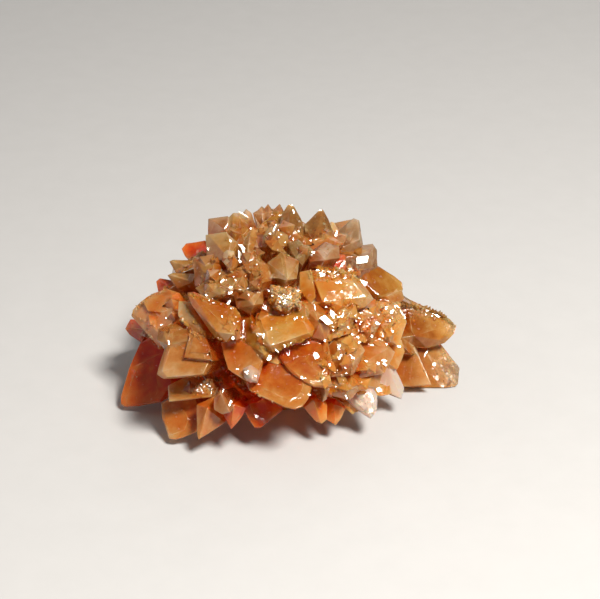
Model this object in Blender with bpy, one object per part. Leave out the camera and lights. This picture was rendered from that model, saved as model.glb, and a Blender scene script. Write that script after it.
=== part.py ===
"""Calcite specimen: a hand-sized dome of bladed and toothed calcite crystals, grown together as one solid.

The crystals radiate from a rounded core. The side on display is laid out crystal by crystal on a drawing
grid; the back and the flanks follow the same habits by rule. The specimen broke from its bed on a flat
face, on which it stands.

Frame: +X across the specimen, -Y towards the display side, +Z up, origin on the break below the crown.
"""

import math
import random
from typing import NamedTuple

import bmesh
import bpy
from mathutils import Matrix, Quaternion, Vector
from mathutils.bvhtree import BVHTree

MM = 0.001

# Driving dimensions.
WIDTH = 85 * MM  # the specimen from tip to tip, along X
CORE_HALF = Vector((34, 25, 36)) * MM  # the dome that the crystals follow: half-axes along its own X, Y, Z
CORE_CENTRE = Vector((-4, 0, 4)) * MM
CORE_TURN = math.radians(15)  # about Z; it brings the left end forward
CORE_SHARE = 0.80  # the solid core, as a share of that dome
CORE_UNDERCUT = 0.30  # how much narrower the core is at the break than at its widest
REST_CLEARANCE = 0.3 * MM  # how far the corners of the lowest crystals stay above the break
BED_WIDTH = 200 * MM  # the block that the break is cut with
WELD = 0.0005 * MM  # corners closer than this are one

# The drawing grid: the display side seen in perspective from a raised eye, columns to the right, rows down.
GRID_COLUMNS = 340  # squares across the specimen's width
GRID = WIDTH / GRID_COLUMNS
AXIS_COLUMN, AXIS_ROW = 300, 299.5  # where the eye's axis meets the grid
ORIGIN_COLUMN, ORIGIN_ROW = 290, 380  # where the part's origin lies on it
EYE_ELEVATION = math.radians(30)
EYE_DISTANCE = 450 * MM

# A crystal with no crest of its own ends in a flat table facet.
TABLE_INSET = 0.06  # drawn in from the girdle, as a share of the way to its middle
TABLE_HEIGHT = 0.5 * MM  # above the girdle's plane
SOLVER = "EXACT"
ROOT_SHARE = 0.5  # a crystal's root lies this share of the way from its girdle to the dome's centre

BODY_COLOUR = (0.82, 0.33, 0.09, 1.0)
BODY_ROUGHNESS = 0.2


class Drawn(NamedTuple):
    """A crystal of the display side: its girdle on the drawing grid, and how that girdle's plane lies."""

    name: str
    lift: float  # mm from the dome towards the eye, at the girdle's middle
    right: float  # degrees that the girdle's plane faces to the right of the eye
    up: float  # degrees that it faces above the eye
    girdle: list  # columns and rows of its corners
    crest: list = ()  # column, row and mm above the girdle's plane; without one, a flat table


DRAWN = [
    # Far side of the crown and left flank: teeth that show past the edge.
    Drawn("crown_fan", -5, 0, 10,
          [(252, 213), (260, 208), (282, 208), (288, 214), (280, 230), (258, 230)]),
    Drawn("crown_fan_tooth_a", -5, -10, 14,
          [(253, 214), (262, 204.5), (270, 214), (262, 224)],
          [(262, 214, 1.4)]),
    Drawn("crown_fan_tooth_b", -4.6, 4, 12,
          [(261, 212), (268, 202), (275, 212), (269, 224)],
          [(269, 212, 1.6)]),
    Drawn("crown_fan_tooth_c", -4.2, 10, 12,
          [(271, 211), (280, 202.5), (286, 213), (278, 224)],
          [(279, 211, 1.6)]),
    Drawn("crown_notch", -3, -10, 15,
          [(240, 216), (246, 208), (252, 212), (257, 226), (249, 234), (241, 228)],
          [(246, 210, 0.6), (249, 228, 2.2)]),
    Drawn("flank_tooth_high", -6, -25, 10,
          [(181, 249), (186, 243), (206, 240), (210, 256), (190, 260), (185, 257)]),
    Drawn("flank_tooth_low", -6, -25, 10,
          [(155, 281), (160, 277), (174, 280), (178, 292), (158, 294)],
          [(158, 280, 0.5), (173, 288, 2)]),
    Drawn("flank_plate_back", -5, -30, 5,
          [(124, 329), (130, 318), (146, 320), (156, 340), (140, 343), (129, 336)],
          [(131, 328, 1), (150, 332, 1.6)]),
    # Crown teeth, left to right.
    Drawn("crown_block_left", -2, -20, 25,
          [(207.5, 218), (229, 215), (232, 232), (222, 240), (207, 236)],
          [(211, 219.5, 0.8), (226, 230, 2.8)]),
    Drawn("crown_tooth_left", -1, 8, 22,
          [(228, 217), (233, 212), (240, 212.5), (249, 221), (254, 231), (247, 241), (236, 242),
           (228, 236)],
          [(233, 216, 1.2), (240, 217, 1.6), (249, 229, 1.8), (240, 239, 2.6), (231, 232, 2)]),
    Drawn("crown_tooth_mid", 1, 6, 15,
          [(281, 214), (287, 204), (291, 203), (295, 206), (303, 221), (305, 240), (290, 250),
           (276, 240)],
          [(290, 206, 0.8), (288, 244, 3.4)]),
    Drawn("crown_tooth_right", 1, 8, 15,
          [(303, 225), (312, 216), (320, 208), (324, 209), (329, 219), (336, 236), (320, 254),
           (303, 246)],
          [(322, 212, 0.8), (313, 240, 3.2), (328, 236, 2)]),
    Drawn("crown_sliver", -1, 25, 20,
          [(330, 221), (334, 222), (339, 231), (337, 245), (331, 242)]),
    Drawn("crown_tooth_far_right", 0, 10, 22,
          [(338, 230), (348, 221), (353, 217), (360, 220), (361, 230), (364, 245), (352, 254),
           (339, 253)],
          [(347, 224, 0.8), (358, 221, 0.6), (360, 240, 1.4), (343, 247, 2)]),
    Drawn("shoulder_block", 0, 16, 36,
          [(342, 254), (354, 246), (373, 242.5), (378, 250), (378, 268), (360, 279), (345, 272)],
          [(350, 259, 1.6), (374, 247, 0.8), (372, 268, 1.6), (356, 272, 3)]),
    # Upper left blocks and flank teeth.
    Drawn("amber_hollow", -2, 0, 20,
          [(255, 228), (275, 213), (287, 211), (287, 226), (266, 238), (256, 240)]),
    Drawn("upper_left_block", 0, -20, 25,
          [(204.5, 234), (226, 231), (239, 242), (240, 256), (226, 268), (206, 264)],
          [(209, 236, 0.8), (230, 240, 1.6), (228, 258, 3.4)]),
    Drawn("flank_block", 2, -20, 30,
          [(192, 259), (208, 254), (222, 265), (222, 280), (212, 288), (194, 287)],
          [(196, 261, 0.8), (214, 264, 2), (210, 281, 3.2)]),
    Drawn("flank_spike_high", 0, -10, 10,
          [(168, 261), (173, 259), (196, 259), (199, 276), (184, 278), (175, 273)],
          [(172, 261, 0.6), (194, 268, 2)]),
    Drawn("flank_spike_low", -1, -12, 15,
          [(166, 275), (173, 272), (196, 273), (198, 290), (177, 289), (171, 282)],
          [(170, 275, 0.6), (192, 282, 2)]),
    Drawn("prism", 4, -4, 12,
          [(250, 229), (258, 241), (263, 262), (253, 266), (242, 268), (236, 262), (241, 244)],
          [(249.5, 232, 0.8), (247, 262, 4)]),
    Drawn("prism_foot", 4, -20, 20,
          [(223, 252), (227, 249), (235, 250), (236, 264), (226, 266), (221, 260)],
          [(228, 252, 1), (234, 253, 0.8), (233, 262, 1.6), (227, 262, 1.6)]),
    Drawn("upper_ledge", 2, -10, 42,
          [(194, 288), (214, 272), (248, 266), (252, 282), (234, 296), (206, 300)],
          [(214, 280, 1.4), (246, 272, 2), (222, 294, 3.4)]),
    Drawn("brown_recess", 0, 0, 20,
          [(214, 280), (240, 268), (262, 275), (262, 300), (238, 310), (214, 300)],
          [(228, 282, 1.2), (250, 284, 1.6), (240, 302, 2.4)]),
    Drawn("mauve_block_high", 3, 8, 28,
          [(248, 264), (262, 259), (271, 266), (276, 280), (262, 292), (248, 286)],
          [(259, 262, 1.4), (257, 284, 3.4)]),
    Drawn("mauve_block_low", 3, -8, 28,
          [(232, 290), (248, 283), (264, 288), (264, 304), (250, 315), (236, 308)],
          [(246, 287, 1.6), (254, 305, 3.6)]),
    Drawn("honey_gem", 4, -5, 25,
          [(266, 262), (281, 251), (300, 260), (298, 279), (282, 287), (269, 277)],
          [(284, 256, 1.4), (288, 280, 3.4)]),
    Drawn("crown_gem", 2, -10, 25,
          [(262, 236), (272, 222), (287, 225), (290, 246), (270, 256), (261, 247)],
          [(278, 225, 1.4), (272, 246, 3.4)]),
    Drawn("crown_saddle", 2, 0, 25,
          [(286, 242), (304, 238), (314, 250), (303, 266), (288, 260)],
          [(303, 243, 1.4), (296, 259, 3)]),
    Drawn("crown_crumb", 3, 5, 35,
          [(309, 251), (325, 241), (340, 246), (341, 258), (326, 264), (309, 262)],
          [(316, 250, 1.2), (334, 248, 1.4), (325, 260, 3)]),
    Drawn("ember_recess", -2, 0, 15,
          [(316, 254), (346, 254), (348, 276), (316, 276)]),
    # Middle band.
    Drawn("crumb_ball", 4, -10, 30,
          [(268, 291), (278, 284), (293, 286), (303, 291), (300, 303), (286, 312), (275, 309),
           (267, 300)],
          [(276, 290, 2), (294, 291, 2.2), (286, 304, 3.2)]),
    Drawn("amber_slab", 4, -20, 5,
          [(299, 271), (312, 269), (317, 298), (312, 304), (299, 291)]),
    Drawn("frosted_block", 4.5, 5, 32,
          [(307, 270), (330, 267), (347, 270), (361, 280), (375, 299), (366, 308), (340, 311),
           (317, 306)],
          [(314, 281, 3.4), (354, 282, 3.4), (367, 297, 2.4), (322, 302, 2.8)]),
    Drawn("right_blade", 1, 25, 15,
          [(352, 271), (378, 265), (394, 275), (403, 282), (404, 290), (398, 299), (375, 303),
           (360, 290)],
          [(368, 272, 1), (400, 285, 0.6), (380, 297, 2.6)]),
    Drawn("right_blade_foot", 2, 26, 30,
          [(378, 292), (402, 287), (405, 299), (396, 309), (374, 306)],
          [(384, 293, 1), (400, 291, 0.6), (392, 304, 2)]),
    Drawn("horn", 1, 12, 15,
          [(396, 305), (404, 296), (419, 309), (436, 312), (450, 318), (457, 326), (455, 334),
           (445, 344), (428, 349), (410, 342), (398, 324)],
          [(408, 311, 1.6), (452, 325, 0.8), (440, 340, 1.6), (414, 336, 3)]),
    Drawn("right_foot", 1, 15, 0,
          [(414, 343), (441, 343), (450, 355), (459, 366), (457, 386.5), (446, 388), (405, 388),
           (398, 372), (403, 352)],
          [(424, 348, 1.6), (446, 360, 1.6), (447, 384, 1.6), (434, 385, 2.4)]),
    Drawn("right_foot_facet", 4.5, -8, 15,
          [(415, 345), (433, 386), (404, 388), (395, 372), (394, 361), (401, 350)]),
    Drawn("right_foot_cap", 2, 30, 5,
          [(446, 364), (457, 363.5), (459.5, 368), (457.5, 385), (448, 386)]),
    Drawn("middle_block_a", 4, -5, 30,
          [(318, 300), (346, 298), (358, 312), (351, 334), (330, 340), (312, 322)],
          [(324, 305, 2), (350, 312, 3.4)]),
    Drawn("middle_block_b", 4, 5, 25,
          [(344, 298), (376, 298), (384, 318), (372, 341), (348, 342), (344, 318)],
          [(352, 304, 2), (372, 330, 3.6)]),
    Drawn("middle_block_c", 3.5, 15, 30,
          [(370, 300), (399, 302), (408, 322), (399, 346), (374, 344), (366, 322)],
          [(392, 307, 2), (380, 336, 3.6)]),
    Drawn("middle_block_d", 6, -10, 25,
          [(326, 332), (352, 330), (366, 350), (354, 376), (330, 378), (318, 356)],
          [(334, 340, 2), (354, 362, 3.6)]),
    Drawn("middle_block_e", 6, 10, 25,
          [(350, 335), (380, 335), (396, 352), (385, 374), (358, 380), (348, 358)],
          [(388, 348, 2), (362, 364, 3.8)]),
    Drawn("middle_block_f", 4, 15, 20,
          [(376, 337), (402, 339), (406, 352), (398, 370), (380, 368)],
          [(394, 344, 1.6), (386, 362, 2.8)]),
    Drawn("middle_block_g", 7, -5, 20,
          [(326, 369), (353, 367), (366, 383), (350, 401), (328, 396), (318, 381)],
          [(338, 374, 2), (346, 392, 3.6)]),
    Drawn("middle_block_h", 6, 10, 20,
          [(350, 370), (364, 372), (384, 370), (380, 389), (358, 391)],
          [(374, 376, 2), (360, 384, 2.8)]),
    Drawn("centre_hollow", 3, 0, 15,
          [(258, 300), (276, 306), (302, 302), (318, 318), (286, 328), (262, 322)]),
    Drawn("centre_blade", 4.5, 5, 20,
          [(296, 301), (315, 299), (319, 311), (335, 322), (326, 342), (312, 338), (303, 318)],
          [(312, 304, 1.6), (320, 324, 3)]),
    Drawn("amber_step", 3.5, 0, 30,
          [(262, 350), (276, 342), (292, 340), (290, 356), (278, 366), (264, 362)]),
    Drawn("fan_blade", 7, 5, 28,
          [(277, 357), (285, 343), (300, 339), (316, 333), (329, 342), (334, 366), (328, 388),
           (314, 388), (298, 379), (287, 370)]),
    Drawn("gold_blade", 5, -5, 32,
          [(257, 312), (268, 317), (286, 320), (306, 315), (316, 328), (313, 337), (290, 342),
           (273, 353), (260, 345), (252, 327)],
          [(260, 319, 1), (304, 321, 1.4), (309, 333, 2), (270, 346, 3.2)]),
    Drawn("amber_knee", 4.5, -10, 20,
          [(240, 318), (252, 310), (260, 328), (264, 345), (273, 352), (270, 363), (257, 357),
           (240, 339)],
          [(250, 317, 1.2), (264, 355, 2.8)]),
    Drawn("cream_edge_wedge", 6, -8, 30,
          [(186, 292), (194, 291), (215, 301), (236, 307), (242, 316), (240, 338), (226, 343),
           (214, 338), (202, 320), (190, 304)],
          [(196, 300, 0.9), (232, 312, 1.2), (232, 334, 2.8), (217, 332, 2.4)]),
    Drawn("amber_gusset", 3, -15, 25,
          [(178, 300), (190, 301), (206, 322), (216, 338), (201, 339), (188, 330), (177, 316)],
          [(184, 304, 1), (206, 334, 2.2)]),
    Drawn("ribbed_blade", 7, -8, 20,
          [(220, 342), (240, 338), (256, 348), (264, 362), (258, 384), (246, 382), (236, 376),
           (227, 370), (222, 354)]),
    Drawn("tongue", 10, 3, 32,
          [(243, 378), (258, 364), (277, 360), (298, 374), (313, 387), (309, 400), (303, 408),
           (295, 410.5), (284, 408), (262, 398), (248, 391)]),
    Drawn("clear_corner", 11, -5, 15,
          [(242, 368), (250, 364), (259, 370), (258, 382), (250, 384), (243, 378)],
          [(247, 369, 1.2), (254, 371, 1.4), (252, 380, 1.8)]),
    # Left side.
    Drawn("west_blade", 2, -22, 20,
          [(130, 316), (133, 308), (141, 300), (152, 293), (167, 288), (180, 292), (184, 308),
           (180, 324), (168, 336), (160, 350), (154, 340), (142, 330)],
          [(135, 315, 0.8), (145, 303, 1), (172, 295, 1.6), (176, 318, 2.4), (159, 333, 2.2)]),
    Drawn("west_blade_scale", 4.5, -15, 30,
          [(142, 301), (158, 294), (173, 297), (178, 309), (160, 314), (147, 312)]),
    Drawn("southwest_fin", 1, -18, 12,
          [(140, 342), (152, 336), (168, 350), (174, 384), (162, 403), (137, 407), (124, 408),
           (120, 404), (120, 397), (125, 382), (129, 367), (133, 357)]),
    Drawn("front_shelf", 4.5, -10, 45,
          [(157, 328), (176, 322), (193, 329), (198, 340), (190, 350), (165, 352), (156, 340)],
          [(163, 331, 1.6), (184, 328, 1.6), (190, 340, 2.8), (167, 345, 2.8)]),
    Drawn("front_plate", 8, -6, 28,
          [(169, 328), (192, 328), (208, 336), (214, 350), (212, 366), (206, 376), (185, 378.5),
           (163, 380), (156, 375), (160, 361)],
          [(172, 340, 1.2), (207, 341, 1), (208, 364, 1.8), (203, 374.5, 1.5), (167, 377.5, 1.4),
           (162, 371, 1.5)]),
    Drawn("front_terrace", 8.3, -6, 28,
          [(187, 344), (190, 331), (206, 337), (212, 350), (213, 362), (183, 359)]),
    Drawn("dark_gulf", -3, 0, 20,
          [(208, 344), (226, 350), (234, 372), (252, 390), (276, 402), (262, 412), (236, 406),
           (212, 394), (200, 376)]),
    Drawn("lower_shelf", 4, -5, 35,
          [(167, 386), (182, 378), (206, 376), (216, 388), (212, 398), (190, 398), (168, 403)]),
    Drawn("lower_left_fin", 6, -12, 14,
          [(161, 403), (172, 396), (196, 396), (204, 415), (197, 433), (182, 438), (176, 441),
           (169, 440), (165, 429), (161, 418)]),
    Drawn("lower_left_tooth", 8, 5, 12,
          [(196, 404), (214, 396), (225, 408), (226, 423), (211, 433), (198, 441), (196, 434),
           (197, 418)],
          [(199.5, 438, 0.5), (207, 408, 3)]),
    Drawn("pink_sliver", 9.5, -5, 15,
          [(213, 398), (220, 389), (224, 396), (230, 402), (231.5, 413), (222, 415.5), (213, 410)],
          [(221, 393, 0.8), (229, 411, 1)]),
    Drawn("lower_tooth_a", 7, 0, 14,
          [(221, 413), (228, 400), (240, 398), (247, 408), (243, 417), (231, 431)],
          [(231, 427, 0.6), (234, 404, 2.6)]),
    Drawn("lower_tooth_b", 5, 5, 12,
          [(240, 402), (262, 393), (284, 404), (283, 411), (270, 420), (261, 428.5), (254, 429),
           (247, 419)]),
    # Lower right teeth.
    Drawn("foot_tooth_a", 6, -5, 10,
          [(303, 408), (309, 394), (321, 392), (328, 405), (328, 420), (322, 425), (315, 422)],
          [(320, 421, 0.8), (313, 400, 2.6)]),
    Drawn("foot_tooth_b", 6, 5, 10,
          [(322, 400), (336, 398), (347, 408), (341, 420), (336, 426.5), (326, 420)],
          [(335.5, 422, 0.6), (334, 404, 2)]),
    Drawn("foot_chip", 9, -5, 15,
          [(318, 386), (331, 388), (327, 400), (322, 403), (320, 395)],
          [(323, 400, 0.5), (325, 389, 1.6)]),
    Drawn("foot_wedge", 6, 5, 5,
          [(341, 402), (356, 400), (360, 411), (352, 415.5), (345, 409)]),
    Drawn("pale_tooth", 9, 5, 20,
          [(342, 394), (357, 382), (372, 384), (378.5, 395), (377, 411), (371, 420), (365, 416),
           (353, 406)],
          [(349, 396, 1.2), (371, 387, 1.4), (375, 397, 1.2), (370, 415, 1)]),
    Drawn("foot_plate", 5, 10, 15,
          [(372, 384), (392, 384), (393, 393), (385, 396.5), (376, 397)]),
    Drawn("white_tooth", 6.5, 15, 15,
          [(376, 376), (386, 362), (394, 364), (400, 377), (405.5, 388), (402, 400.5), (391, 394.5)],
          [(401, 397, 0.6), (389, 367, 2.8)]),
]


def display_axes():
    """The drawing's axes in the part's frame: to the right, up the page, and out of the page to the eye."""
    sine, cosine = math.sin(EYE_ELEVATION), math.cos(EYE_ELEVATION)
    return Vector((1, 0, 0)), Vector((0, sine, cosine)), Vector((0, -cosine, sine))


RIGHT, UP, OUT = display_axes()


AIM = RIGHT * ((AXIS_COLUMN - ORIGIN_COLUMN) * GRID) + UP * ((ORIGIN_ROW - AXIS_ROW) * GRID)


def sight_line(column, row):
    """The line of sight through a place on the grid: its point on the grid's plane and its run per metre."""
    across = (column - AXIS_COLUMN) * GRID
    above = (AXIS_ROW - row) * GRID
    start = AIM + RIGHT * across + UP * above
    run = OUT - RIGHT * (across / EYE_DISTANCE) - UP * (above / EYE_DISTANCE)
    return start, run


def in_dome_units(vector):
    """A direction measured along the dome's own axes, in half-axes."""
    turned = Matrix.Rotation(-CORE_TURN, 3, "Z") @ vector
    return Vector(a / half for a, half in zip(turned, CORE_HALF))


def dome_depth(start, run):
    """How far along a line of sight the dome is met, or passed most closely."""
    near = in_dome_units(start - CORE_CENTRE)
    step = in_dome_units(run)
    half_b = near.dot(step)
    a = step.length_squared
    reach = max(0.0, half_b**2 - a * (near.length_squared - 1))
    return (math.sqrt(reach) - half_b) / a


def face_direction(crystal):
    """The direction that the girdle's plane of a drawn crystal faces."""
    right, up = math.tan(math.radians(crystal.right)), math.tan(math.radians(crystal.up))
    return (OUT + RIGHT * right + UP * up).normalized()


def drawn_points(crystal):
    """A drawn crystal's girdle and crest in space: where the lines of sight meet their planes."""
    columns = [c for c, _ in crystal.girdle]
    rows = [r for _, r in crystal.girdle]
    start, run = sight_line(sum(columns) / len(columns), sum(rows) / len(rows))
    centre = start + run * (dome_depth(start, run) + crystal.lift * MM)
    normal = face_direction(crystal)

    def on_plane(column, row, height=0.0):
        start, run = sight_line(column, row)
        depth = (centre + normal * height * MM - start).dot(normal) / run.dot(normal)
        lowest = (REST_CLEARANCE - start.z) / run.z
        return start + run * max(depth, lowest)

    girdle = [on_plane(*place) for place in crystal.girdle]
    crest = [on_plane(*place) for place in crystal.crest]
    return girdle, crest or flat_table(girdle, normal)


def flat_table(girdle, normal):
    """The corners of a table facet over this girdle."""
    middle = sum(girdle, Vector()) / len(girdle)
    return [p.lerp(middle, TABLE_INSET) + normal * TABLE_HEIGHT for p in girdle]


def crystal_points(girdle, crest):
    """All corners of a crystal: its girdle, its crest in front and its root in the core behind."""
    middle = sum(girdle, Vector()) / len(girdle)
    return girdle + crest + [middle.lerp(CORE_CENTRE, ROOT_SHARE)]


def convex_solid(name, points):
    """A mesh object that is the convex solid through these corners."""
    shape = bmesh.new()
    for point in points:
        shape.verts.new(point)
    hull = bmesh.ops.convex_hull(shape, input=shape.verts)
    spare = {e for e in hull["geom_interior"] + hull["geom_unused"] if isinstance(e, bmesh.types.BMVert)}
    bmesh.ops.delete(shape, geom=list(spare), context="VERTS")
    bmesh.ops.recalc_face_normals(shape, faces=shape.faces)
    mesh = bpy.data.meshes.new(name)
    shape.to_mesh(mesh)
    shape.free()
    return bpy.data.objects.new(name, mesh)


def drawn_crystals():
    """The crystals of the display side."""
    return [convex_solid(c.name, crystal_points(*drawn_points(c))) for c in DRAWN]


# The back and the flanks.
GROWN_COUNT = 122  # places tried over the whole dome, before those that the display side takes are left out
GROWN_SEED = 11
GOLDEN_ANGLE = math.pi * (3 - math.sqrt(5))
LOWEST_SEAT = -0.12  # the height of the lowest seat over the dome's centre, in half-axes
DISPLAY_LIMIT = 0.02  # seats that face the eye more than this belong to the display side


def grid_place(point):
    """The column and row where a point in space is seen on the drawing grid."""
    scale = EYE_DISTANCE / (EYE_DISTANCE - (point - AIM).dot(OUT))
    place = (point - AIM) * (scale / GRID)
    return AXIS_COLUMN + place.dot(RIGHT), AXIS_ROW - place.dot(UP)


def inside(place, corners):
    """Whether a place on the grid lies inside this outline."""
    x, y = place
    crossed = False
    for (x1, y1), (x2, y2) in zip(corners, corners[1:] + corners[:1]):
        if (y1 > y) != (y2 > y) and x < x1 + (y - y1) * (x2 - x1) / (y2 - y1):
            crossed = not crossed
    return crossed


def shows_past_display(points):
    """Whether a corner would be seen outside every drawn crystal."""
    places = [grid_place(p) for p in points]
    return any(not any(inside(place, c.girdle) for c in DRAWN) for place in places)


def dome_seat(direction):
    """The dome's point in this direction, given in half-axes, and the way that the dome faces there."""
    turn = Matrix.Rotation(CORE_TURN, 3, "Z")
    point = CORE_CENTRE + turn @ Vector([d * half for d, half in zip(direction, CORE_HALF)])
    facing = turn @ Vector([d / half for d, half in zip(direction, CORE_HALF)])
    return point, facing.normalized()


def blade_points(foot, tip_way, face_way, long, wide, deep, chance):
    """The corners of a blade or a tooth that starts at its foot and points this way."""
    side_way = tip_way.cross(face_way)
    shoulder = chance.uniform(0.4, 0.7)
    slant = chance.uniform(-0.18, 0.18)
    outline = [
        (1.0, slant, 0.0),
        (shoulder, 0.5, 0.0),
        (0.0, 0.3, 0.0),
        (0.0, -0.3, 0.0),
        (shoulder - slant, -0.5, 0.0),
        (shoulder * 0.9, slant * 0.5, deep),
    ]
    return [foot + tip_way * long * a + side_way * wide * b + face_way * c for a, b, c in outline]


def grown_crystal(name, direction, chance):
    """A blade on the dome that leans away from the crown, and is shorter at the display side's edge."""
    seat, facing = dome_seat(direction)
    away = Vector((direction.x, direction.y, -0.35))
    away = (away - facing * away.dot(facing)).normalized()
    swing = Quaternion(facing, chance.uniform(-0.6, 0.6))
    tip_way = (facing * chance.uniform(0.35, 0.95) + (swing @ away)).normalized()
    face_way = (facing - tip_way * facing.dot(tip_way)).normalized()
    long = chance.uniform(19, 28) * MM
    slender = chance.uniform(0.6, 1.0)
    deep = chance.uniform(0.6, 3.4) * MM
    shape_seed = chance.random()
    for share in (1.0, 0.85, 0.7, 0.6):
        own = random.Random(shape_seed)
        size = long * share
        foot = seat - tip_way * size * 0.5
        points = blade_points(foot, tip_way, face_way, size, size * slender, deep, own)
        for p in points:
            p.z = max(p.z, REST_CLEARANCE)
        if not shows_past_display(points):
            return convex_solid(name, points + [seat.lerp(CORE_CENTRE, ROOT_SHARE)])
    return None


def grown_crystals():
    """The crystals of the back and the flanks, spread evenly over the dome where the display side ends."""
    chance = random.Random(GROWN_SEED)
    made = []
    for i in range(GROWN_COUNT):
        height = LOWEST_SEAT + (1 - LOWEST_SEAT) * (i + 0.5) / GROWN_COUNT
        round_about = GOLDEN_ANGLE * i
        ring = math.sqrt(1 - height**2)
        direction = Vector((ring * math.cos(round_about), ring * math.sin(round_about), height))
        if dome_seat(direction)[1].dot(OUT) < DISPLAY_LIMIT:
            made.append(grown_crystal(f"grown_{i:03d}", direction, chance))
    return [crystal for crystal in made if crystal]


class Druse(NamedTuple):
    """A patch of small crystals on the display side: an oval on the drawing grid."""

    name: str
    column: float
    row: float
    half_columns: float
    half_rows: float
    count: int
    short: float  # mm, the least length of a crystal
    long: float  # mm, the greatest


DRUSE = [
    Druse("frosted_top", 334, 273, 27, 5, 12, 3.0, 4.2),
    Druse("right_mass", 360, 325, 40, 24, 23, 3.8, 5.6),
    Druse("front_mass", 346, 372, 27, 26, 15, 3.8, 5.6),
    Druse("crumb_ball", 285, 298, 16, 12, 9, 3.0, 4.2),
    Druse("upper_left", 232, 275, 34, 24, 13, 4.2, 6.6),
    Druse("crown", 285, 236, 58, 18, 15, 4.4, 7.0),
    Druse("lower_left", 206, 387, 20, 11, 7, 3.4, 4.6),
    Druse("left_shoulder", 166, 316, 24, 14, 3, 4.0, 5.4),
    Druse("seam", 248, 330, 24, 20, 6, 3.6, 5.4),
]
DRUSE_SEED = 5


def druse_crystal(name, patch, step, surface, chance):
    """A small tooth rooted where its line of sight meets the display side, or none past its edge."""
    reach = math.sqrt((step + 0.5) / patch.count)
    angle = GOLDEN_ANGLE * step + chance.uniform(-0.3, 0.3)
    column = patch.column + patch.half_columns * reach * math.cos(angle)
    row = patch.row + patch.half_rows * reach * math.sin(angle)
    long = chance.uniform(patch.short, patch.long) * MM
    wide = long * chance.uniform(0.55, 0.9)
    deep = long * chance.uniform(0.25, 0.45)
    bearing = chance.uniform(0, 2 * math.pi)
    lean = chance.uniform(0.15, 0.9)
    start, run = sight_line(column, row)
    seat, normal, _, _ = surface.ray_cast(start + run * EYE_DISTANCE * 0.5, -run)
    if seat is None:
        return None
    away = Quaternion(normal, bearing) @ normal.orthogonal().normalized()
    tip_way = (normal * lean + away).normalized()
    face_way = (normal - tip_way * normal.dot(tip_way)).normalized()
    side_way = tip_way.cross(face_way)
    foot = seat - tip_way * long * 0.5
    points = [
        foot + tip_way * long,
        foot + tip_way * long * 0.5 + side_way * wide * 0.5,
        foot + tip_way * long * 0.4 - side_way * wide * 0.5,
        foot + tip_way * long * 0.35 + face_way * deep,
        foot,
    ]
    if shows_past_display(points) or min(p.z for p in points) < REST_CLEARANCE:
        return None
    return convex_solid(name, points + [seat - normal * long * 0.7])


def druse_crystals(hosts):
    """The small crystals that cover the display side's masses."""
    verts = []
    polygons = []
    for obj in hosts:
        first = len(verts)
        verts += [v.co.copy() for v in obj.data.vertices]
        polygons += [[first + i for i in p.vertices] for p in obj.data.polygons]
    surface = BVHTree.FromPolygons(verts, polygons)
    chance = random.Random(DRUSE_SEED)
    made = []
    for patch in DRUSE:
        for step in range(patch.count):
            made.append(druse_crystal(f"{patch.name}_{step:02d}", patch, step, surface, chance))
    return [crystal for crystal in made if crystal]


def core():
    """The rounded core that every crystal is rooted in."""
    shape = bmesh.new()
    bmesh.ops.create_icosphere(shape, subdivisions=2, radius=1.0)
    for vert in shape.verts:
        lowness = max(0.0, min(1.0, (0.35 - vert.co.z) / 0.45))
        waist = 1 - CORE_UNDERCUT * lowness
        place = Vector((vert.co.x * waist, vert.co.y * waist, vert.co.z))
        vert.co = dome_seat(place * CORE_SHARE)[0]
    mesh = bpy.data.meshes.new("core")
    shape.to_mesh(mesh)
    shape.free()
    return bpy.data.objects.new("core", mesh)


def bed_cutter():
    """The block below the break, which takes away all that would stand under it."""
    shape = bmesh.new()
    bmesh.ops.create_cube(shape, size=1.0)
    bmesh.ops.scale(shape, vec=(BED_WIDTH, BED_WIDTH, BED_WIDTH / 2), verts=shape.verts)
    bmesh.ops.translate(shape, vec=(0, 0, -BED_WIDTH / 4), verts=shape.verts)
    mesh = bpy.data.meshes.new("bed")
    shape.to_mesh(mesh)
    shape.free()
    return bpy.data.objects.new("bed", mesh)


def calcite():
    """The material of the whole specimen: glossy amber-orange calcite."""
    material = bpy.data.materials.new("calcite")
    material.use_nodes = True
    surface = material.node_tree.nodes["Principled BSDF"]
    surface.inputs["Base Color"].default_value = BODY_COLOUR
    surface.inputs["Roughness"].default_value = BODY_ROUGHNESS
    surface.inputs["Metallic"].default_value = 0.0
    return material


def apply_modifiers(obj):
    """Replace the object's mesh by its evaluated one."""
    graph = bpy.context.evaluated_depsgraph_get()
    mesh = bpy.data.meshes.new_from_object(obj.evaluated_get(graph))
    obj.modifiers.clear()
    obj.data = mesh


def keep_outer_shell(obj):
    """Weld the solid's near-touching corners and fill the closed pockets inside it."""
    shape = bmesh.new()
    shape.from_mesh(obj.data)
    bmesh.ops.remove_doubles(shape, verts=shape.verts, dist=WELD)
    bmesh.ops.dissolve_degenerate(shape, edges=shape.edges, dist=WELD)
    bmesh.ops.triangulate(shape, faces=shape.faces)
    left = set(shape.verts)
    shells = []
    while left:
        front = [left.pop()]
        shell = []
        while front:
            vert = front.pop()
            shell.append(vert)
            for edge in vert.link_edges:
                other = edge.other_vert(vert)
                if other in left:
                    left.remove(other)
                    front.append(other)
        shells.append(shell)
    outer = max(shells, key=len)
    for shell in shells:
        if shell is not outer:
            bmesh.ops.delete(shape, geom=shell, context="VERTS")
    shape.to_mesh(obj.data)
    shape.free()


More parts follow.
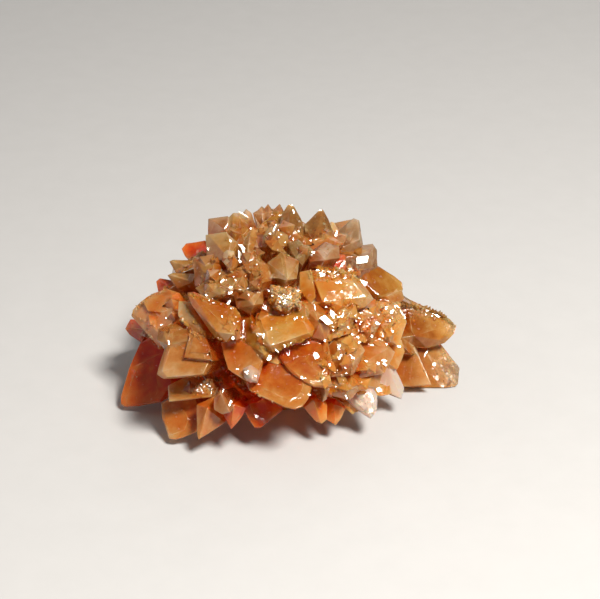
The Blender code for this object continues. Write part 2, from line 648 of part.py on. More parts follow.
def main():
    for old in list(bpy.data.objects):
        bpy.data.objects.remove(old)
    collection = bpy.data.collections.new("calcite_specimen")
    operands = bpy.data.collections.new("operands")
    bpy.context.scene.collection.children.link(collection)
    bpy.context.scene.collection.children.link(operands)

    body = core()
    body.name = "calcite_cluster"
    collection.objects.link(body)
    drawn = drawn_crystals()
    for obj in drawn + grown_crystals() + druse_crystals([body] + drawn):
        operands.objects.link(obj)
    grow = body.modifiers.new("grow", "BOOLEAN")
    grow.operation = "UNION"
    grow.operand_type = "COLLECTION"
    grow.collection = operands
    grow.solver = SOLVER
    apply_modifiers(body)
    for obj in list(operands.objects):
        bpy.data.objects.remove(obj)
    bed = bed_cutter()
    operands.objects.link(bed)
    rest = body.modifiers.new("rest", "BOOLEAN")
    rest.operation = "DIFFERENCE"
    rest.object = bed
    rest.solver = SOLVER
    apply_modifiers(body)
    bpy.data.objects.remove(bed)
    bpy.data.collections.remove(operands)
    keep_outer_shell(body)
    body.data.materials.clear()
    body.data.materials.append(calcite())


if __name__ == "__main__":
    main()
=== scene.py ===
"""Looks of the calcite specimen: rounded, striated crystals, druse, and a studio with a camera.

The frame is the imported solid. The crystals are grown again here from the same named values, with rounded
edges, and take that solid's place; the druse is too fine for the solid and sits on them.
"""

import math
import random
from typing import NamedTuple

import bmesh
import bpy
from bpy.props import FloatProperty, FloatVectorProperty, IntProperty, PointerProperty
from mathutils import Matrix, Quaternion, Vector, noise
from mathutils.bvhtree import BVHTree


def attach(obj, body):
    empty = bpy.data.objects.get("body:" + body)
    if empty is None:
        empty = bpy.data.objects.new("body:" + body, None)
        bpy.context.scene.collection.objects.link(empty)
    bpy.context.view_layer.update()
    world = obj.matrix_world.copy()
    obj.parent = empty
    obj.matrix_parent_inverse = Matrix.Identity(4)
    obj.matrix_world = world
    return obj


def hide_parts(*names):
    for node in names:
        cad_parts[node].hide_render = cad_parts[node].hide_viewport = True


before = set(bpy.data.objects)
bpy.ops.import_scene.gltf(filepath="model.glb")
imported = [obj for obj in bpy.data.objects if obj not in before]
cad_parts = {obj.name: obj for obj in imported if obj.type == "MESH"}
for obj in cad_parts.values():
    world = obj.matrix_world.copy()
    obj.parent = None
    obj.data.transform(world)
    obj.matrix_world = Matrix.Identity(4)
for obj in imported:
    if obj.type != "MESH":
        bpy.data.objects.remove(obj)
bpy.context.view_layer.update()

bl_info = {
    "name": "Calcite specimen",
    "version": (1, 0, 0),
    "blender": (4, 5, 0),
    "location": "3D View > Sidebar > Calcite",
    "description": "Builds a calcite crystal cluster, its druse and its studio",
    "category": "Object",
}

MM = 0.001
WELD = 0.0002 * MM  # vertices nearer than this are one

# The specimen's own measures, as in its solid.
WIDTH = 85 * MM
CORE_HALF = Vector((34, 25, 36)) * MM  # half-axes of the dome that the crystals stand on
CORE_CENTRE = Vector((-4, 0, 4)) * MM
CORE_TURN = math.radians(15)
CORE_SHARE = 0.80  # of the dome, what is solid core
CORE_UNDERCUT = 0.30  # how much narrower the core is at its foot
UNDERCUT_FROM, UNDERCUT_OVER = 0.35, 0.45  # where on its height that starts, and over how much it grows
REST_CLEARANCE = 0.3 * MM  # no crystal reaches lower than this above the break
BED_WIDTH = 200 * MM
GRID_COLUMNS = 340
GRID = WIDTH / GRID_COLUMNS
PICTURE_COLUMNS = 600  # how many of the grid's columns the camera sees
AXIS_COLUMN, AXIS_ROW = 300, 299.5  # where the drawing grid is met by the eye's axis
ORIGIN_COLUMN, ORIGIN_ROW = 290, 380  # and where the part's origin lies on it
EYE_ELEVATION = math.radians(30)
EYE_DISTANCE = 450 * MM
TABLE_INSET = 0.06
TABLE_HEIGHT = 0.5 * MM
ROOT_SHARE = 0.5  # how far in to the core's centre a crystal is rooted
GOLDEN_ANGLE = math.pi * (3 - math.sqrt(5))

# The blades that grow over the back and the flanks.
GROWN_COUNT = 122
GROWN_SEED = 11
GROWN_TINTS = ("honey", "orange", "gold", "amber", "peach", "orange")
GROWN_LONG = (19, 28)  # mm
GROWN_SLENDER = (0.6, 1.0)  # width over length
GROWN_DEEP = (0.6, 3.4)  # mm
GROWN_SHARES = (1.0, 0.85, 0.7, 0.6)  # of its length, tried until the blade is hidden from the display side
GROWN_FALL = -0.35  # how steeply they point down
GROWN_SWING = 0.6
GROWN_LEAN = (0.35, 0.95)  # how far they stand off the dome
BLADE_SHOULDER = (0.4, 0.7)  # where along a blade it is widest
BLADE_SLANT = 0.18  # how far its tip lies to one side, in widths
LOWEST_SEAT = -0.12
DISPLAY_LIMIT = 0.02  # the dome belongs to the display side where it faces the eye by more than this
DRUSE_SEED = 5
DRUSE_FROST = 0.3

# Body colours of the calcite: of light that has come through a crystal's face and back.
TINTS = {
    "peach": (0.64, 0.265, 0.055),
    "rose": (0.97, 0.650, 0.440),
    "pink": (0.52, 0.220, 0.068),
    "cream": (0.92, 0.530, 0.200),
    "honey": (0.55, 0.235, 0.040),
    "tan": (0.34, 0.155, 0.032),
    "syrup": (0.68, 0.240, 0.028),
    "gold": (0.84, 0.345, 0.046),
    "orange": (0.72, 0.250, 0.040),
    "ember": (0.64, 0.175, 0.014),
    "amber": (0.48, 0.150, 0.009),
    "rust": (0.74, 0.070, 0.002),
    # raised to stand in for light glowing red through the stone in the deep gulf and the lower teeth: partly
    # a painted glow
    "glow": (0.98, 0.200, 0.010),
    "smoke": (0.41, 0.230, 0.098),
    "milk": (1.0, 0.760, 0.600),
}
# The bare core, seen only in the gaps between crystals: a deep red raised to stand in for light glowing
# through the stone there, partly a painted glow.
GAP_TINT = (0.96, 0.150, 0.008)
# Of milky veils and frost, and of the painted highlight on the bright faces.
MILK_AND_HIGHLIGHT_COLOUR = (1.0, 0.82, 0.58)
STONE_COLOUR = (1.0, 0.50, 0.14)  # of light that has passed through it

# How much stone the light comes through: 1 under an open face, less at a rim, more at a root or in a gap.
# The extra depth in a gap is painted shade, and the lesser depth at a rim is partly a painted highlight.
# Painted highlight: a rim's colour is paler, partly for the thinner stone there and partly as a painted
# highlight along the edge.
RIM_DEPTH = 0.34
ROOT_DEPTH = 0.45
# painted shade: the extra depth of colour where a vertex has lost its sky, as in a gap
GAP_SHADE_DEPTH = 0.36
TIP_DEPTH = -0.42
GAP_SHADE_RANGE = (0.15, 0.95)  # the shares of its sky that a vertex has lost where the painted shade of a gap begins and is deepest
RED_SHARE = 0.45  # how fast red fades with depth, against green and blue
# The sky that each vertex sees, which sets where the painted shade falls.
SKY_REACH = 14 * MM  # neighbours further off than this take no light
SKY_START = 0.4 * MM  # and nearer ones than this are part of the same face
SKY_RAYS = 12
VARIETY = (0.9, 1.12)  # the least and most depth by which one crystal's tint differs from the next one's
FINE_VARIETY = (0.7, 1.1)  # and that of the finest crystals, against what they sit on
FINE_FROSTS = (0.0, 0.0, 0.4, 0.9)
FINE_FROSTING = 0.4  # how much of its frost a fine crystal shows
FINEST_EDGE = 2.6 * MM  # the longest edge of a face that carries colour
RIM_TURN = 0.97  # a face turned further than this cosine from its crystal's flat one is part of a rim
RIM_PATCH = 2.2 * MM  # how long a bright stretch of a rim's painted highlight is
RIM_SHARE = 0.35  # how softly it ends
UNEVENNESS = 0.30 * MM  # how far a face lies in from its true plane, at most
UNEVEN_OVER = 3.2 * MM  # and how far it is from one such hollow to the next
EVEN_BELOW = 1.0 * MM  # near the break the faces keep their planes
LARGE_RIM, SMALL_RIM = 1.0, 0.4  # how pale the rims of large and small crystals are, partly thinner stone, partly painted highlight
RIM_SPREAD = 0.55  # of that, what reaches the faces beside a rim
STEP_OF = {"west_blade_scale": "west_blade", "front_terrace": "front_plate"}  # steps of a larger crystal
SMALL_CRYSTAL = 7.5 * MM  # shorter crystals have a plain, narrower bevel
SMALL_ROUNDING = 0.4  # of the others' rounding
BEVEL_LIMIT = 0.4  # of a crystal's shortest edge, the widest bevel
FLAT_WITHIN = math.radians(2)  # faces that turn less than this against each other are made one
REFINE_PASSES = 5
CORE_DETAIL = 4  # subdivisions of the core that is seen; the one that crystals are seated on has SEAT_DETAIL
SEAT_DETAIL = 2


class Drawn(NamedTuple):
    """A crystal of the display side: its girdle on the drawing grid, and how that girdle's plane lies."""

    name: str
    tint: str
    lift: float  # mm from the dome towards the eye, at the girdle's middle
    right: float  # degrees that the girdle's plane faces to the right of the eye
    up: float  # degrees that it faces above the eye
    girdle: list  # columns and rows of its corners
    crest: list = ()  # column, row and mm above the girdle's plane; without one, a flat table


DRAWN = [
    # Far side of the crown and left flank: teeth that show past the edge.
    Drawn("crown_fan", "pink", -5, 0, 10,
          [(252, 213), (260, 208), (282, 208), (288, 214), (280, 230), (258, 230)]),
    Drawn("crown_fan_tooth_a", "pink", -5, -10, 14,
          [(253, 214), (262, 204.5), (270, 214), (262, 224)],
          [(262, 214, 1.4)]),
    Drawn("crown_fan_tooth_b", "pink", -4.6, 4, 12,
          [(261, 212), (268, 202), (275, 212), (269, 224)],
          [(269, 212, 1.6)]),
    Drawn("crown_fan_tooth_c", "pink", -4.2, 10, 12,
          [(271, 211), (280, 202.5), (286, 213), (278, 224)],
          [(279, 211, 1.6)]),
    Drawn("crown_notch", "pink", -3, -10, 15,
          [(240, 216), (246, 208), (252, 212), (257, 226), (249, 234), (241, 228)],
          [(246, 210, 0.6), (249, 228, 2.2)]),
    Drawn("flank_tooth_high", "rust", -6, -25, 10,
          [(181, 249), (186, 243), (206, 240), (210, 256), (190, 260), (185, 257)]),
    Drawn("flank_tooth_low", "rust", -6, -25, 10,
          [(155, 281), (160, 277), (174, 280), (178, 292), (158, 294)],
          [(158, 280, 0.5), (173, 288, 2)]),
    Drawn("flank_plate_back", "rust", -5, -30, 5,
          [(124, 329), (130, 318), (146, 320), (156, 340), (140, 343), (129, 336)],
          [(131, 328, 1), (150, 332, 1.6)]),
    # Crown teeth, left to right.
    Drawn("crown_block_left", "pink", -2, -20, 25,
          [(207.5, 218), (229, 215), (232, 232), (222, 240), (207, 236)],
          [(211, 219.5, 0.8), (226, 230, 2.8)]),
    Drawn("crown_tooth_left", "honey", -1, 8, 22,
          [(228, 217), (233, 212), (240, 212.5), (249, 221), (254, 231), (247, 241), (236, 242),
           (228, 236)],
          [(233, 216, 1.2), (240, 217, 1.6), (249, 229, 1.8), (240, 239, 2.6), (231, 232, 2)]),
    Drawn("crown_tooth_mid", "tan", 1, 6, 15,
          [(281, 214), (287, 204), (291, 203), (295, 206), (303, 221), (305, 240), (290, 250),
           (276, 240)],
          [(290, 206, 0.8), (288, 244, 3.4)]),
    Drawn("crown_tooth_right", "tan", 1, 8, 15,
          [(303, 225), (312, 216), (320, 208), (324, 209), (329, 219), (336, 236), (320, 254),
           (303, 246)],
          [(322, 212, 0.8), (313, 240, 3.2), (328, 236, 2)]),
    Drawn("crown_sliver", "cream", -1, 25, 20,
          [(330, 221), (334, 222), (339, 231), (337, 245), (331, 242)]),
    Drawn("crown_tooth_far_right", "smoke", 0, 10, 22,
          [(338, 230), (348, 221), (353, 217), (360, 220), (361, 230), (364, 245), (352, 254),
           (339, 253)],
          [(347, 224, 0.8), (358, 221, 0.6), (360, 240, 1.4), (343, 247, 2)]),
    Drawn("shoulder_block", "smoke", 0, 16, 36,
          [(342, 254), (354, 246), (373, 242.5), (378, 250), (378, 268), (360, 279), (345, 272)],
          [(350, 259, 1.6), (374, 247, 0.8), (372, 268, 1.6), (356, 272, 3)]),
    # Upper left blocks and flank teeth.
    Drawn("amber_hollow", "amber", -2, 0, 20,
          [(255, 228), (275, 213), (287, 211), (287, 226), (266, 238), (256, 240)]),
    Drawn("upper_left_block", "honey", 0, -20, 25,
          [(204.5, 234), (226, 231), (239, 242), (240, 256), (226, 268), (206, 264)],
          [(209, 236, 0.8), (230, 240, 1.6), (228, 258, 3.4)]),
    Drawn("flank_block", "honey", 2, -20, 30,
          [(192, 259), (208, 254), (222, 265), (222, 280), (212, 288), (194, 287)],
          [(196, 261, 0.8), (214, 264, 2), (210, 281, 3.2)]),
    Drawn("flank_spike_high", "honey", 0, -10, 10,
          [(168, 261), (173, 259), (196, 259), (199, 276), (184, 278), (175, 273)],
          [(172, 261, 0.6), (194, 268, 2)]),
    Drawn("flank_spike_low", "honey", -1, -12, 15,
          [(166, 275), (173, 272), (196, 273), (198, 290), (177, 289), (171, 282)],
          [(170, 275, 0.6), (192, 282, 2)]),
    Drawn("prism", "honey", 4, -4, 12,
          [(250, 229), (258, 241), (263, 262), (253, 266), (242, 268), (236, 262), (241, 244)],
          [(249.5, 232, 0.8), (247, 262, 4)]),
    Drawn("prism_foot", "cream", 4, -20, 20,
          [(223, 252), (227, 249), (235, 250), (236, 264), (226, 266), (221, 260)],
          [(228, 252, 1), (234, 253, 0.8), (233, 262, 1.6), (227, 262, 1.6)]),
    Drawn("upper_ledge", "honey", 2, -10, 42,
          [(194, 288), (214, 272), (248, 266), (252, 282), (234, 296), (206, 300)],
          [(214, 280, 1.4), (246, 272, 2), (222, 294, 3.4)]),
    Drawn("brown_recess", "tan", 0, 0, 20,
          [(214, 280), (240, 268), (262, 275), (262, 300), (238, 310), (214, 300)],
          [(228, 282, 1.2), (250, 284, 1.6), (240, 302, 2.4)]),
    Drawn("mauve_block_high", "peach", 3, 8, 28,
          [(248, 264), (262, 259), (271, 266), (276, 280), (262, 292), (248, 286)],
          [(259, 262, 1.4), (257, 284, 3.4)]),
    Drawn("mauve_block_low", "peach", 3, -8, 28,
          [(232, 290), (248, 283), (264, 288), (264, 304), (250, 315), (236, 308)],
          [(246, 287, 1.6), (254, 305, 3.6)]),
    Drawn("honey_gem", "honey", 4, -5, 25,
          [(266, 262), (281, 251), (300, 260), (298, 279), (282, 287), (269, 277)],
          [(284, 256, 1.4), (288, 280, 3.4)]),
    Drawn("crown_gem", "honey", 2, -10, 25,
          [(262, 236), (272, 222), (287, 225), (290, 246), (270, 256), (261, 247)],
          [(278, 225, 1.4), (272, 246, 3.4)]),
    Drawn("crown_saddle", "tan", 2, 0, 25,
          [(286, 242), (304, 238), (314, 250), (303, 266), (288, 260)],
          [(303, 243, 1.4), (296, 259, 3)]),
    Drawn("crown_crumb", "pink", 3, 5, 35,
          [(309, 251), (325, 241), (340, 246), (341, 258), (326, 264), (309, 262)],
          [(316, 250, 1.2), (334, 248, 1.4), (325, 260, 3)]),
    Drawn("ember_recess", "rust", -2, 0, 15,
          [(316, 254), (346, 254), (348, 276), (316, 276)]),
    # Middle band.
    Drawn("crumb_ball", "gold", 4, -10, 30,
          [(268, 291), (278, 284), (293, 286), (303, 291), (300, 303), (286, 312), (275, 309),
           (267, 300)],
          [(276, 290, 2), (294, 291, 2.2), (286, 304, 3.2)]),
    Drawn("amber_slab", "gold", 4, -20, 5,
          [(299, 271), (312, 269), (317, 298), (312, 304), (299, 291)]),
    Drawn("frosted_block", "gold", 4.5, 5, 32,
          [(307, 270), (330, 267), (347, 270), (361, 280), (375, 299), (366, 308), (340, 311),
           (317, 306)],
          [(314, 281, 3.4), (354, 282, 3.4), (367, 297, 2.4), (322, 302, 2.8)]),
    Drawn("right_blade", "amber", 1, 25, 15,
          [(352, 271), (378, 265), (394, 275), (403, 282), (404, 290), (398, 299), (375, 303),
           (360, 290)],
          [(368, 272, 1), (400, 285, 0.6), (380, 297, 2.6)]),
    Drawn("right_blade_foot", "peach", 2, 26, 30,
          [(378, 292), (402, 287), (405, 299), (396, 309), (374, 306)],
          [(384, 293, 1), (400, 291, 0.6), (392, 304, 2)]),
    Drawn("horn", "honey", 1, 12, 15,
          [(396, 305), (404, 296), (419, 309), (436, 312), (450, 318), (457, 326), (455, 334),
           (445, 344), (428, 349), (410, 342), (398, 324)],
          [(408, 311, 1.6), (452, 325, 0.8), (440, 340, 1.6), (414, 336, 3)]),
    Drawn("right_foot", "peach", 1, 15, 0,
          [(414, 343), (441, 343), (450, 355), (459, 366), (457, 386.5), (446, 388), (405, 388),
           (398, 372), (403, 352)],
          [(424, 348, 1.6), (446, 360, 1.6), (447, 384, 1.6), (434, 385, 2.4)]),
    Drawn("right_foot_facet", "peach", 4.5, -8, 15,
          [(415, 345), (433, 386), (404, 388), (395, 372), (394, 361), (401, 350)]),
    Drawn("right_foot_cap", "smoke", 2, 30, 5,
          [(446, 364), (457, 363.5), (459.5, 368), (457.5, 385), (448, 386)]),
    Drawn("middle_block_a", "gold", 4, -5, 30,
          [(318, 300), (346, 298), (358, 312), (351, 334), (330, 340), (312, 322)],
          [(324, 305, 2), (350, 312, 3.4)]),
    Drawn("middle_block_b", "orange", 4, 5, 25,
          [(344, 298), (376, 298), (384, 318), (372, 341), (348, 342), (344, 318)],
          [(352, 304, 2), (372, 330, 3.6)]),
    Drawn("middle_block_c", "gold", 3.5, 15, 30,
          [(370, 300), (399, 302), (408, 322), (399, 346), (374, 344), (366, 322)],
          [(392, 307, 2), (380, 336, 3.6)]),
    Drawn("middle_block_d", "orange", 6, -10, 25,
          [(326, 332), (352, 330), (366, 350), (354, 376), (330, 378), (318, 356)],
          [(334, 340, 2), (354, 362, 3.6)]),
    Drawn("middle_block_e", "orange", 6, 10, 25,
          [(350, 335), (380, 335), (396, 352), (385, 374), (358, 380), (348, 358)],
          [(388, 348, 2), (362, 364, 3.8)]),
    Drawn("middle_block_f", "gold", 4, 15, 20,
          [(376, 337), (402, 339), (406, 352), (398, 370), (380, 368)],
          [(394, 344, 1.6), (386, 362, 2.8)]),
    Drawn("middle_block_g", "orange", 7, -5, 20,
          [(326, 369), (353, 367), (366, 383), (350, 401), (328, 396), (318, 381)],
          [(338, 374, 2), (346, 392, 3.6)]),
    Drawn("middle_block_h", "orange", 6, 10, 20,
          [(350, 370), (364, 372), (384, 370), (380, 389), (358, 391)],
          [(374, 376, 2), (360, 384, 2.8)]),
    Drawn("centre_hollow", "amber", 3, 0, 15,
          [(258, 300), (276, 306), (302, 302), (318, 318), (286, 328), (262, 322)]),
    Drawn("centre_blade", "orange", 4.5, 5, 20,
          [(296, 301), (315, 299), (319, 311), (335, 322), (326, 342), (312, 338), (303, 318)],
          [(312, 304, 1.6), (320, 324, 3)]),
    Drawn("amber_step", "gold", 3.5, 0, 30,
          [(262, 350), (276, 342), (292, 340), (290, 356), (278, 366), (264, 362)]),
    Drawn("fan_blade", "ember", 7, 5, 28,
          [(277, 357), (285, 343), (300, 339), (316, 333), (329, 342), (334, 366), (328, 388),
           (314, 388), (298, 379), (287, 370)]),
    Drawn("gold_blade", "gold", 5, -5, 32,
          [(257, 312), (268, 317), (286, 320), (306, 315), (316, 328), (313, 337), (290, 342),
           (273, 353), (260, 345), (252, 327)],
          [(260, 319, 1), (304, 321, 1.4), (309, 333, 2), (270, 346, 3.2)]),
    Drawn("amber_knee", "amber", 4.5, -10, 20,
          [(240, 318), (252, 310), (260, 328), (264, 345), (273, 352), (270, 363), (257, 357),
           (240, 339)],
          [(250, 317, 1.2), (264, 355, 2.8)]),
    Drawn("cream_edge_wedge", "syrup", 6, -8, 30,
          [(186, 292), (194, 291), (215, 301), (236, 307), (242, 316), (240, 338), (226, 343),
           (214, 338), (202, 320), (190, 304)],
          [(196, 300, 0.9), (232, 312, 1.2), (232, 334, 2.8), (217, 332, 2.4)]),
    Drawn("amber_gusset", "gold", 3, -15, 25,
          [(178, 300), (190, 301), (206, 322), (216, 338), (201, 339), (188, 330), (177, 316)],
          [(184, 304, 1), (206, 334, 2.2)]),
    Drawn("ribbed_blade", "orange", 7, -8, 20,
          [(220, 342), (240, 338), (256, 348), (264, 362), (258, 384), (246, 382), (236, 376),
           (227, 370), (222, 354)]),
    Drawn("tongue", "ember", 10, 3, 32,
          [(243, 378), (258, 364), (277, 360), (298, 374), (313, 387), (309, 400), (303, 408),
           (295, 410.5), (284, 408), (262, 398), (248, 391)]),
    Drawn("clear_corner", "rose", 11, -5, 15,
          [(242, 368), (250, 364), (259, 370), (258, 382), (250, 384), (243, 378)],
          [(247, 369, 1.2), (254, 371, 1.4), (252, 380, 1.8)]),
    # Left side.
    Drawn("west_blade", "orange", 2, -22, 20,
          [(130, 316), (133, 308), (141, 300), (152, 293), (167, 288), (180, 292), (184, 308),
           (180, 324), (168, 336), (160, 350), (154, 340), (142, 330)],
          [(135, 315, 0.8), (145, 303, 1), (172, 295, 1.6), (176, 318, 2.4), (159, 333, 2.2)]),
    Drawn("west_blade_scale", "orange", 4.5, -15, 30,
          [(142, 301), (158, 294), (173, 297), (178, 309), (160, 314), (147, 312)]),
    Drawn("southwest_fin", "rust", 1, -18, 12,
          [(140, 342), (152, 336), (168, 350), (174, 384), (162, 403), (137, 407), (124, 408),
           (120, 404), (120, 397), (125, 382), (129, 367), (133, 357)]),
    Drawn("front_shelf", "honey", 4.5, -10, 45,
          [(157, 328), (176, 322), (193, 329), (198, 340), (190, 350), (165, 352), (156, 340)],
          [(163, 331, 1.6), (184, 328, 1.6), (190, 340, 2.8), (167, 345, 2.8)]),
    Drawn("front_plate", "peach", 8, -6, 28,
          [(169, 328), (192, 328), (208, 336), (214, 350), (212, 366), (206, 376), (185, 378.5),
           (163, 380), (156, 375), (160, 361)],
          [(172, 340, 1.2), (207, 341, 1), (208, 364, 1.8), (203, 374.5, 1.5), (167, 377.5, 1.4),
           (162, 371, 1.5)]),
    Drawn("front_terrace", "peach", 8.3, -6, 28,
          [(187, 344), (190, 331), (206, 337), (212, 350), (213, 362), (183, 359)]),
    Drawn("dark_gulf", "glow", -3, 0, 20,
          [(208, 344), (226, 350), (234, 372), (252, 390), (276, 402), (262, 412), (236, 406),
           (212, 394), (200, 376)]),
    Drawn("lower_shelf", "peach", 4, -5, 35,
          [(167, 386), (182, 378), (206, 376), (216, 388), (212, 398), (190, 398), (168, 403)]),
    Drawn("lower_left_fin", "orange", 6, -12, 14,
          [(161, 403), (172, 396), (196, 396), (204, 415), (197, 433), (182, 438), (176, 441),
           (169, 440), (165, 429), (161, 418)]),
    Drawn("lower_left_tooth", "orange", 8, 5, 12,
          [(196, 404), (214, 396), (225, 408), (226, 423), (211, 433), (198, 441), (196, 434),
           (197, 418)],
          [(199.5, 438, 0.5), (207, 408, 3)]),
    Drawn("pink_sliver", "pink", 9.5, -5, 15,
          [(213, 398), (220, 389), (224, 396), (230, 402), (231.5, 413), (222, 415.5), (213, 410)],
          [(221, 393, 0.8), (229, 411, 1)]),
    Drawn("lower_tooth_a", "rust", 7, 0, 14,
          [(221, 413), (228, 400), (240, 398), (247, 408), (243, 417), (231, 431)],
          [(231, 427, 0.6), (234, 404, 2.6)]),
    Drawn("lower_tooth_b", "rust", 5, 5, 12,
          [(240, 402), (262, 393), (284, 404), (283, 411), (270, 420), (261, 428.5), (254, 429),
           (247, 419)]),
    # Lower right teeth.
    Drawn("foot_tooth_a", "glow", 6, -5, 10,
          [(303, 408), (309, 394), (321, 392), (328, 405), (328, 420), (322, 425), (315, 422)],
          [(320, 421, 0.8), (313, 400, 2.6)]),
    Drawn("foot_tooth_b", "glow", 6, 5, 10,
          [(322, 400), (336, 398), (347, 408), (341, 420), (336, 426.5), (326, 420)],
          [(335.5, 422, 0.6), (334, 404, 2)]),
    Drawn("foot_chip", "pink", 9, -5, 15,
          [(318, 386), (331, 388), (327, 400), (322, 403), (320, 395)],
          [(323, 400, 0.5), (325, 389, 1.6)]),
    Drawn("foot_wedge", "gold", 6, 5, 5,
          [(341, 402), (356, 400), (360, 411), (352, 415.5), (345, 409)]),
    Drawn("pale_tooth", "milk", 9, 5, 20,
          [(342, 394), (357, 382), (372, 384), (378.5, 395), (377, 411), (371, 420), (365, 416),
           (353, 406)],
          [(349, 396, 1.2), (371, 387, 1.4), (375, 397, 1.2), (370, 415, 1)]),
    Drawn("foot_plate", "gold", 5, 10, 15,
          [(372, 384), (392, 384), (393, 393), (385, 396.5), (376, 397)]),
    Drawn("white_tooth", "milk", 6.5, 15, 15,
          [(376, 376), (386, 362), (394, 364), (400, 377), (405.5, 388), (402, 400.5), (391, 394.5)],
          [(401, 397, 0.6), (389, 367, 2.8)]),
]


class Patch(NamedTuple):
    """Small crystals on the display side: an oval on the drawing grid."""

    name: str
    column: float
    row: float
    half_columns: float
    half_rows: float
    count: int
    short: float  # mm, the least length of a crystal
    long: float  # mm, the greatest
    tint: str = ""


DRUSE = [
    Patch("frosted_top", 334, 273, 27, 5, 12, 3.0, 4.2, "gold"),
    Patch("right_mass", 360, 325, 40, 24, 23, 3.8, 5.6, "gold"),
    Patch("front_mass", 346, 372, 27, 26, 15, 3.8, 5.6, "gold"),
    Patch("crumb_ball", 285, 298, 16, 12, 9, 3.0, 4.2, "cream"),
    Patch("upper_left", 232, 275, 34, 24, 13, 4.2, 6.6, "peach"),
    Patch("crown", 285, 236, 58, 18, 15, 4.4, 7.0, "honey"),
    Patch("lower_left", 206, 387, 20, 11, 7, 3.4, 4.6, "pink"),
    Patch("left_shoulder", 166, 316, 24, 14, 3, 4.0, 5.4, "orange"),
    Patch("seam", 248, 330, 24, 20, 6, 3.6, 5.4, "syrup"),
]

# Crystals too fine for the solid, in the same kind of patches. They take the colour of what they sit on, with
# its painted shade and painted highlight.
FINE_DRUSE = [
    Patch("frosted_top", 332, 274, 26, 8, 120, 0.4, 1.2),
    Patch("right_mass", 366, 318, 44, 24, 170, 0.4, 1.3),
    Patch("front_mass", 345, 372, 30, 27, 70, 0.4, 1.2),
    Patch("crumb_ball", 284, 299, 21, 15, 210, 0.5, 1.3),
    Patch("upper_left", 230, 277, 36, 22, 50, 0.4, 1.2),
    Patch("crown", 285, 236, 62, 24, 80, 0.4, 1.1),
    Patch("lower_left", 208, 386, 24, 13, 50, 0.4, 1.2),
    Patch("left_shoulder", 160, 318, 32, 24, 12, 0.4, 0.8),
    Patch("gold_seam", 268, 338, 30, 26, 26, 0.4, 1.1),
    Patch("slab_end", 236, 322, 10, 15, 26, 0.5, 1.2),
    Patch("horn", 430, 314, 26, 8, 34, 0.5, 1.3),
    Patch("foot", 430, 366, 26, 18, 12, 0.4, 0.9),
    Patch("lower_teeth", 335, 400, 40, 16, 12, 0.4, 0.9),
    Patch("sparkle", 290, 320, 150, 100, 70, 0.3, 0.5),
]
FINE_SEED = 23
BATCH = 40  # how many small crystals are made at once, because an operator is slow on a large bmesh

# On the back and the flanks the finest crystals lie in clusters.
BACK_CLUSTERS = 14
BACK_GRAINS = 26  # in each
BACK_SPREAD = 0.11  # of a cluster, on the dome, in half-axes
BACK_TOP = 0.9  # how high the highest may be, in the same measure
BACK_GRAIN = Patch("back", 0, 0, 0, 0, 0, 0.5, 1.5)
BARE_TRIES = 2000  # directions in which bare core is looked for
BARE_DEPTH = 0.8  # mm from the core within which a surface counts as bare
BARE_LIMIT = 0.2  # how far round the flanks, as the cosine from the eye's line
BARE_TOOTH = Patch("bare", 0, 0, 0, 0, 0, 1.6, 4.0)

# Of a small tooth's length: its width, its depth and its root; and how far it stands up from its seat.
TOOTH_WIDE = (0.55, 0.9)
TOOTH_DEEP = (0.25, 0.45)
TOOTH_ROOT = 0.7
TOOTH_LEAN = (0.15, 0.9)

OVAL_SWING = 0.3  # radians that a place in an oval may lie off its spiral
EDGE_STRETCH = (0.1, 0.9)  # where in its own stretch of an edge a tooth may stand
EDGE_ASIDE = 1.2  # columns and rows that it may stand off the edge


class Edge(NamedTuple):
    """A row of small teeth along a crystal's edge, from place to place on the drawing grid."""

    name: str
    places: list
    count: int
    short: float
    long: float


SERRATED = [
    Edge("gusset", [(181, 318), (192, 332), (201, 339)], 26, 0.8, 1.8),
    Edge("ribbed_blade", [(222, 366), (232, 376), (248, 391)], 34, 0.9, 2.2),
    Edge("upper_blocks", [(228, 270), (244, 268), (262, 272)], 22, 0.8, 1.6),
    Edge("gold_blade", [(262, 346), (273, 353), (290, 343), (312, 338)], 40, 0.8, 1.8),
    Edge("horn_rim", [(396, 304), (412, 305), (436, 312), (456, 326)], 60, 0.9, 2.2),
    Edge("horn_foot", [(448, 348), (456, 362)], 24, 0.8, 1.8),
    Edge("left_rim", [(128, 319), (142, 302), (166, 289)], 26, 0.5, 1.2),
    Edge("slab_top", [(182, 291), (196, 297), (214, 303), (233, 308)], 44, 0.5, 1.5),
    Edge("slab_foot", [(186, 306), (195, 322), (206, 336), (222, 340)], 40, 0.5, 1.5),
    Edge("scale_foot", [(146, 328), (152, 340), (160, 350)], 18, 0.5, 1.1),
    Edge("tongue", [(250, 391), (268, 400), (284, 408)], 20, 0.5, 1.1),
    Edge("frost_line", [(311, 269), (330, 268), (352, 274), (360, 282)], 60, 0.7, 1.8),
]

# Frosted ovals on the drawing grid: column, row, half-columns, half-rows, most frost.
FROST = [
    (333, 272, 30, 8, 1.2),
    (348, 268, 14, 14, 1.2),
    (338, 294, 28, 16, 0.3),
    (189, 295, 8, 6, 1.2),
    (285, 298, 18, 14, 1.0),
    (394, 312, 16, 12, 1.1),
    (362, 325, 44, 30, 0.5),
    (425, 311, 26, 8, 0.9),
    (450, 352, 10, 14, 0.9),
    (198, 386, 14, 10, 0.5),
    (358, 398, 20, 20, 0.45),
    (366, 404, 11, 15, 0.8),
    (447, 371, 17, 22, 1.4),
    (331, 297, 8, 6, 1.1),
    (352, 289, 10, 8, 1.1),
    (450, 326, 9, 12, 0.9),
    (230, 285, 30, 18, 0.4),
]

# Parallel growths on the larger crystals.
TERRACE_SEED = 31
TERRACE_CHOICE = (0, 1, 1, 2)  # how many a crystal may have
TERRACE_ASIDE = (0.55, 0.95)  # how far each is drawn to a corner
TERRACE_SHARE = (0.45, 0.86)  # of the crystal's size
TERRACE_PROUD = (0.06, 0.26)  # mm off its faces

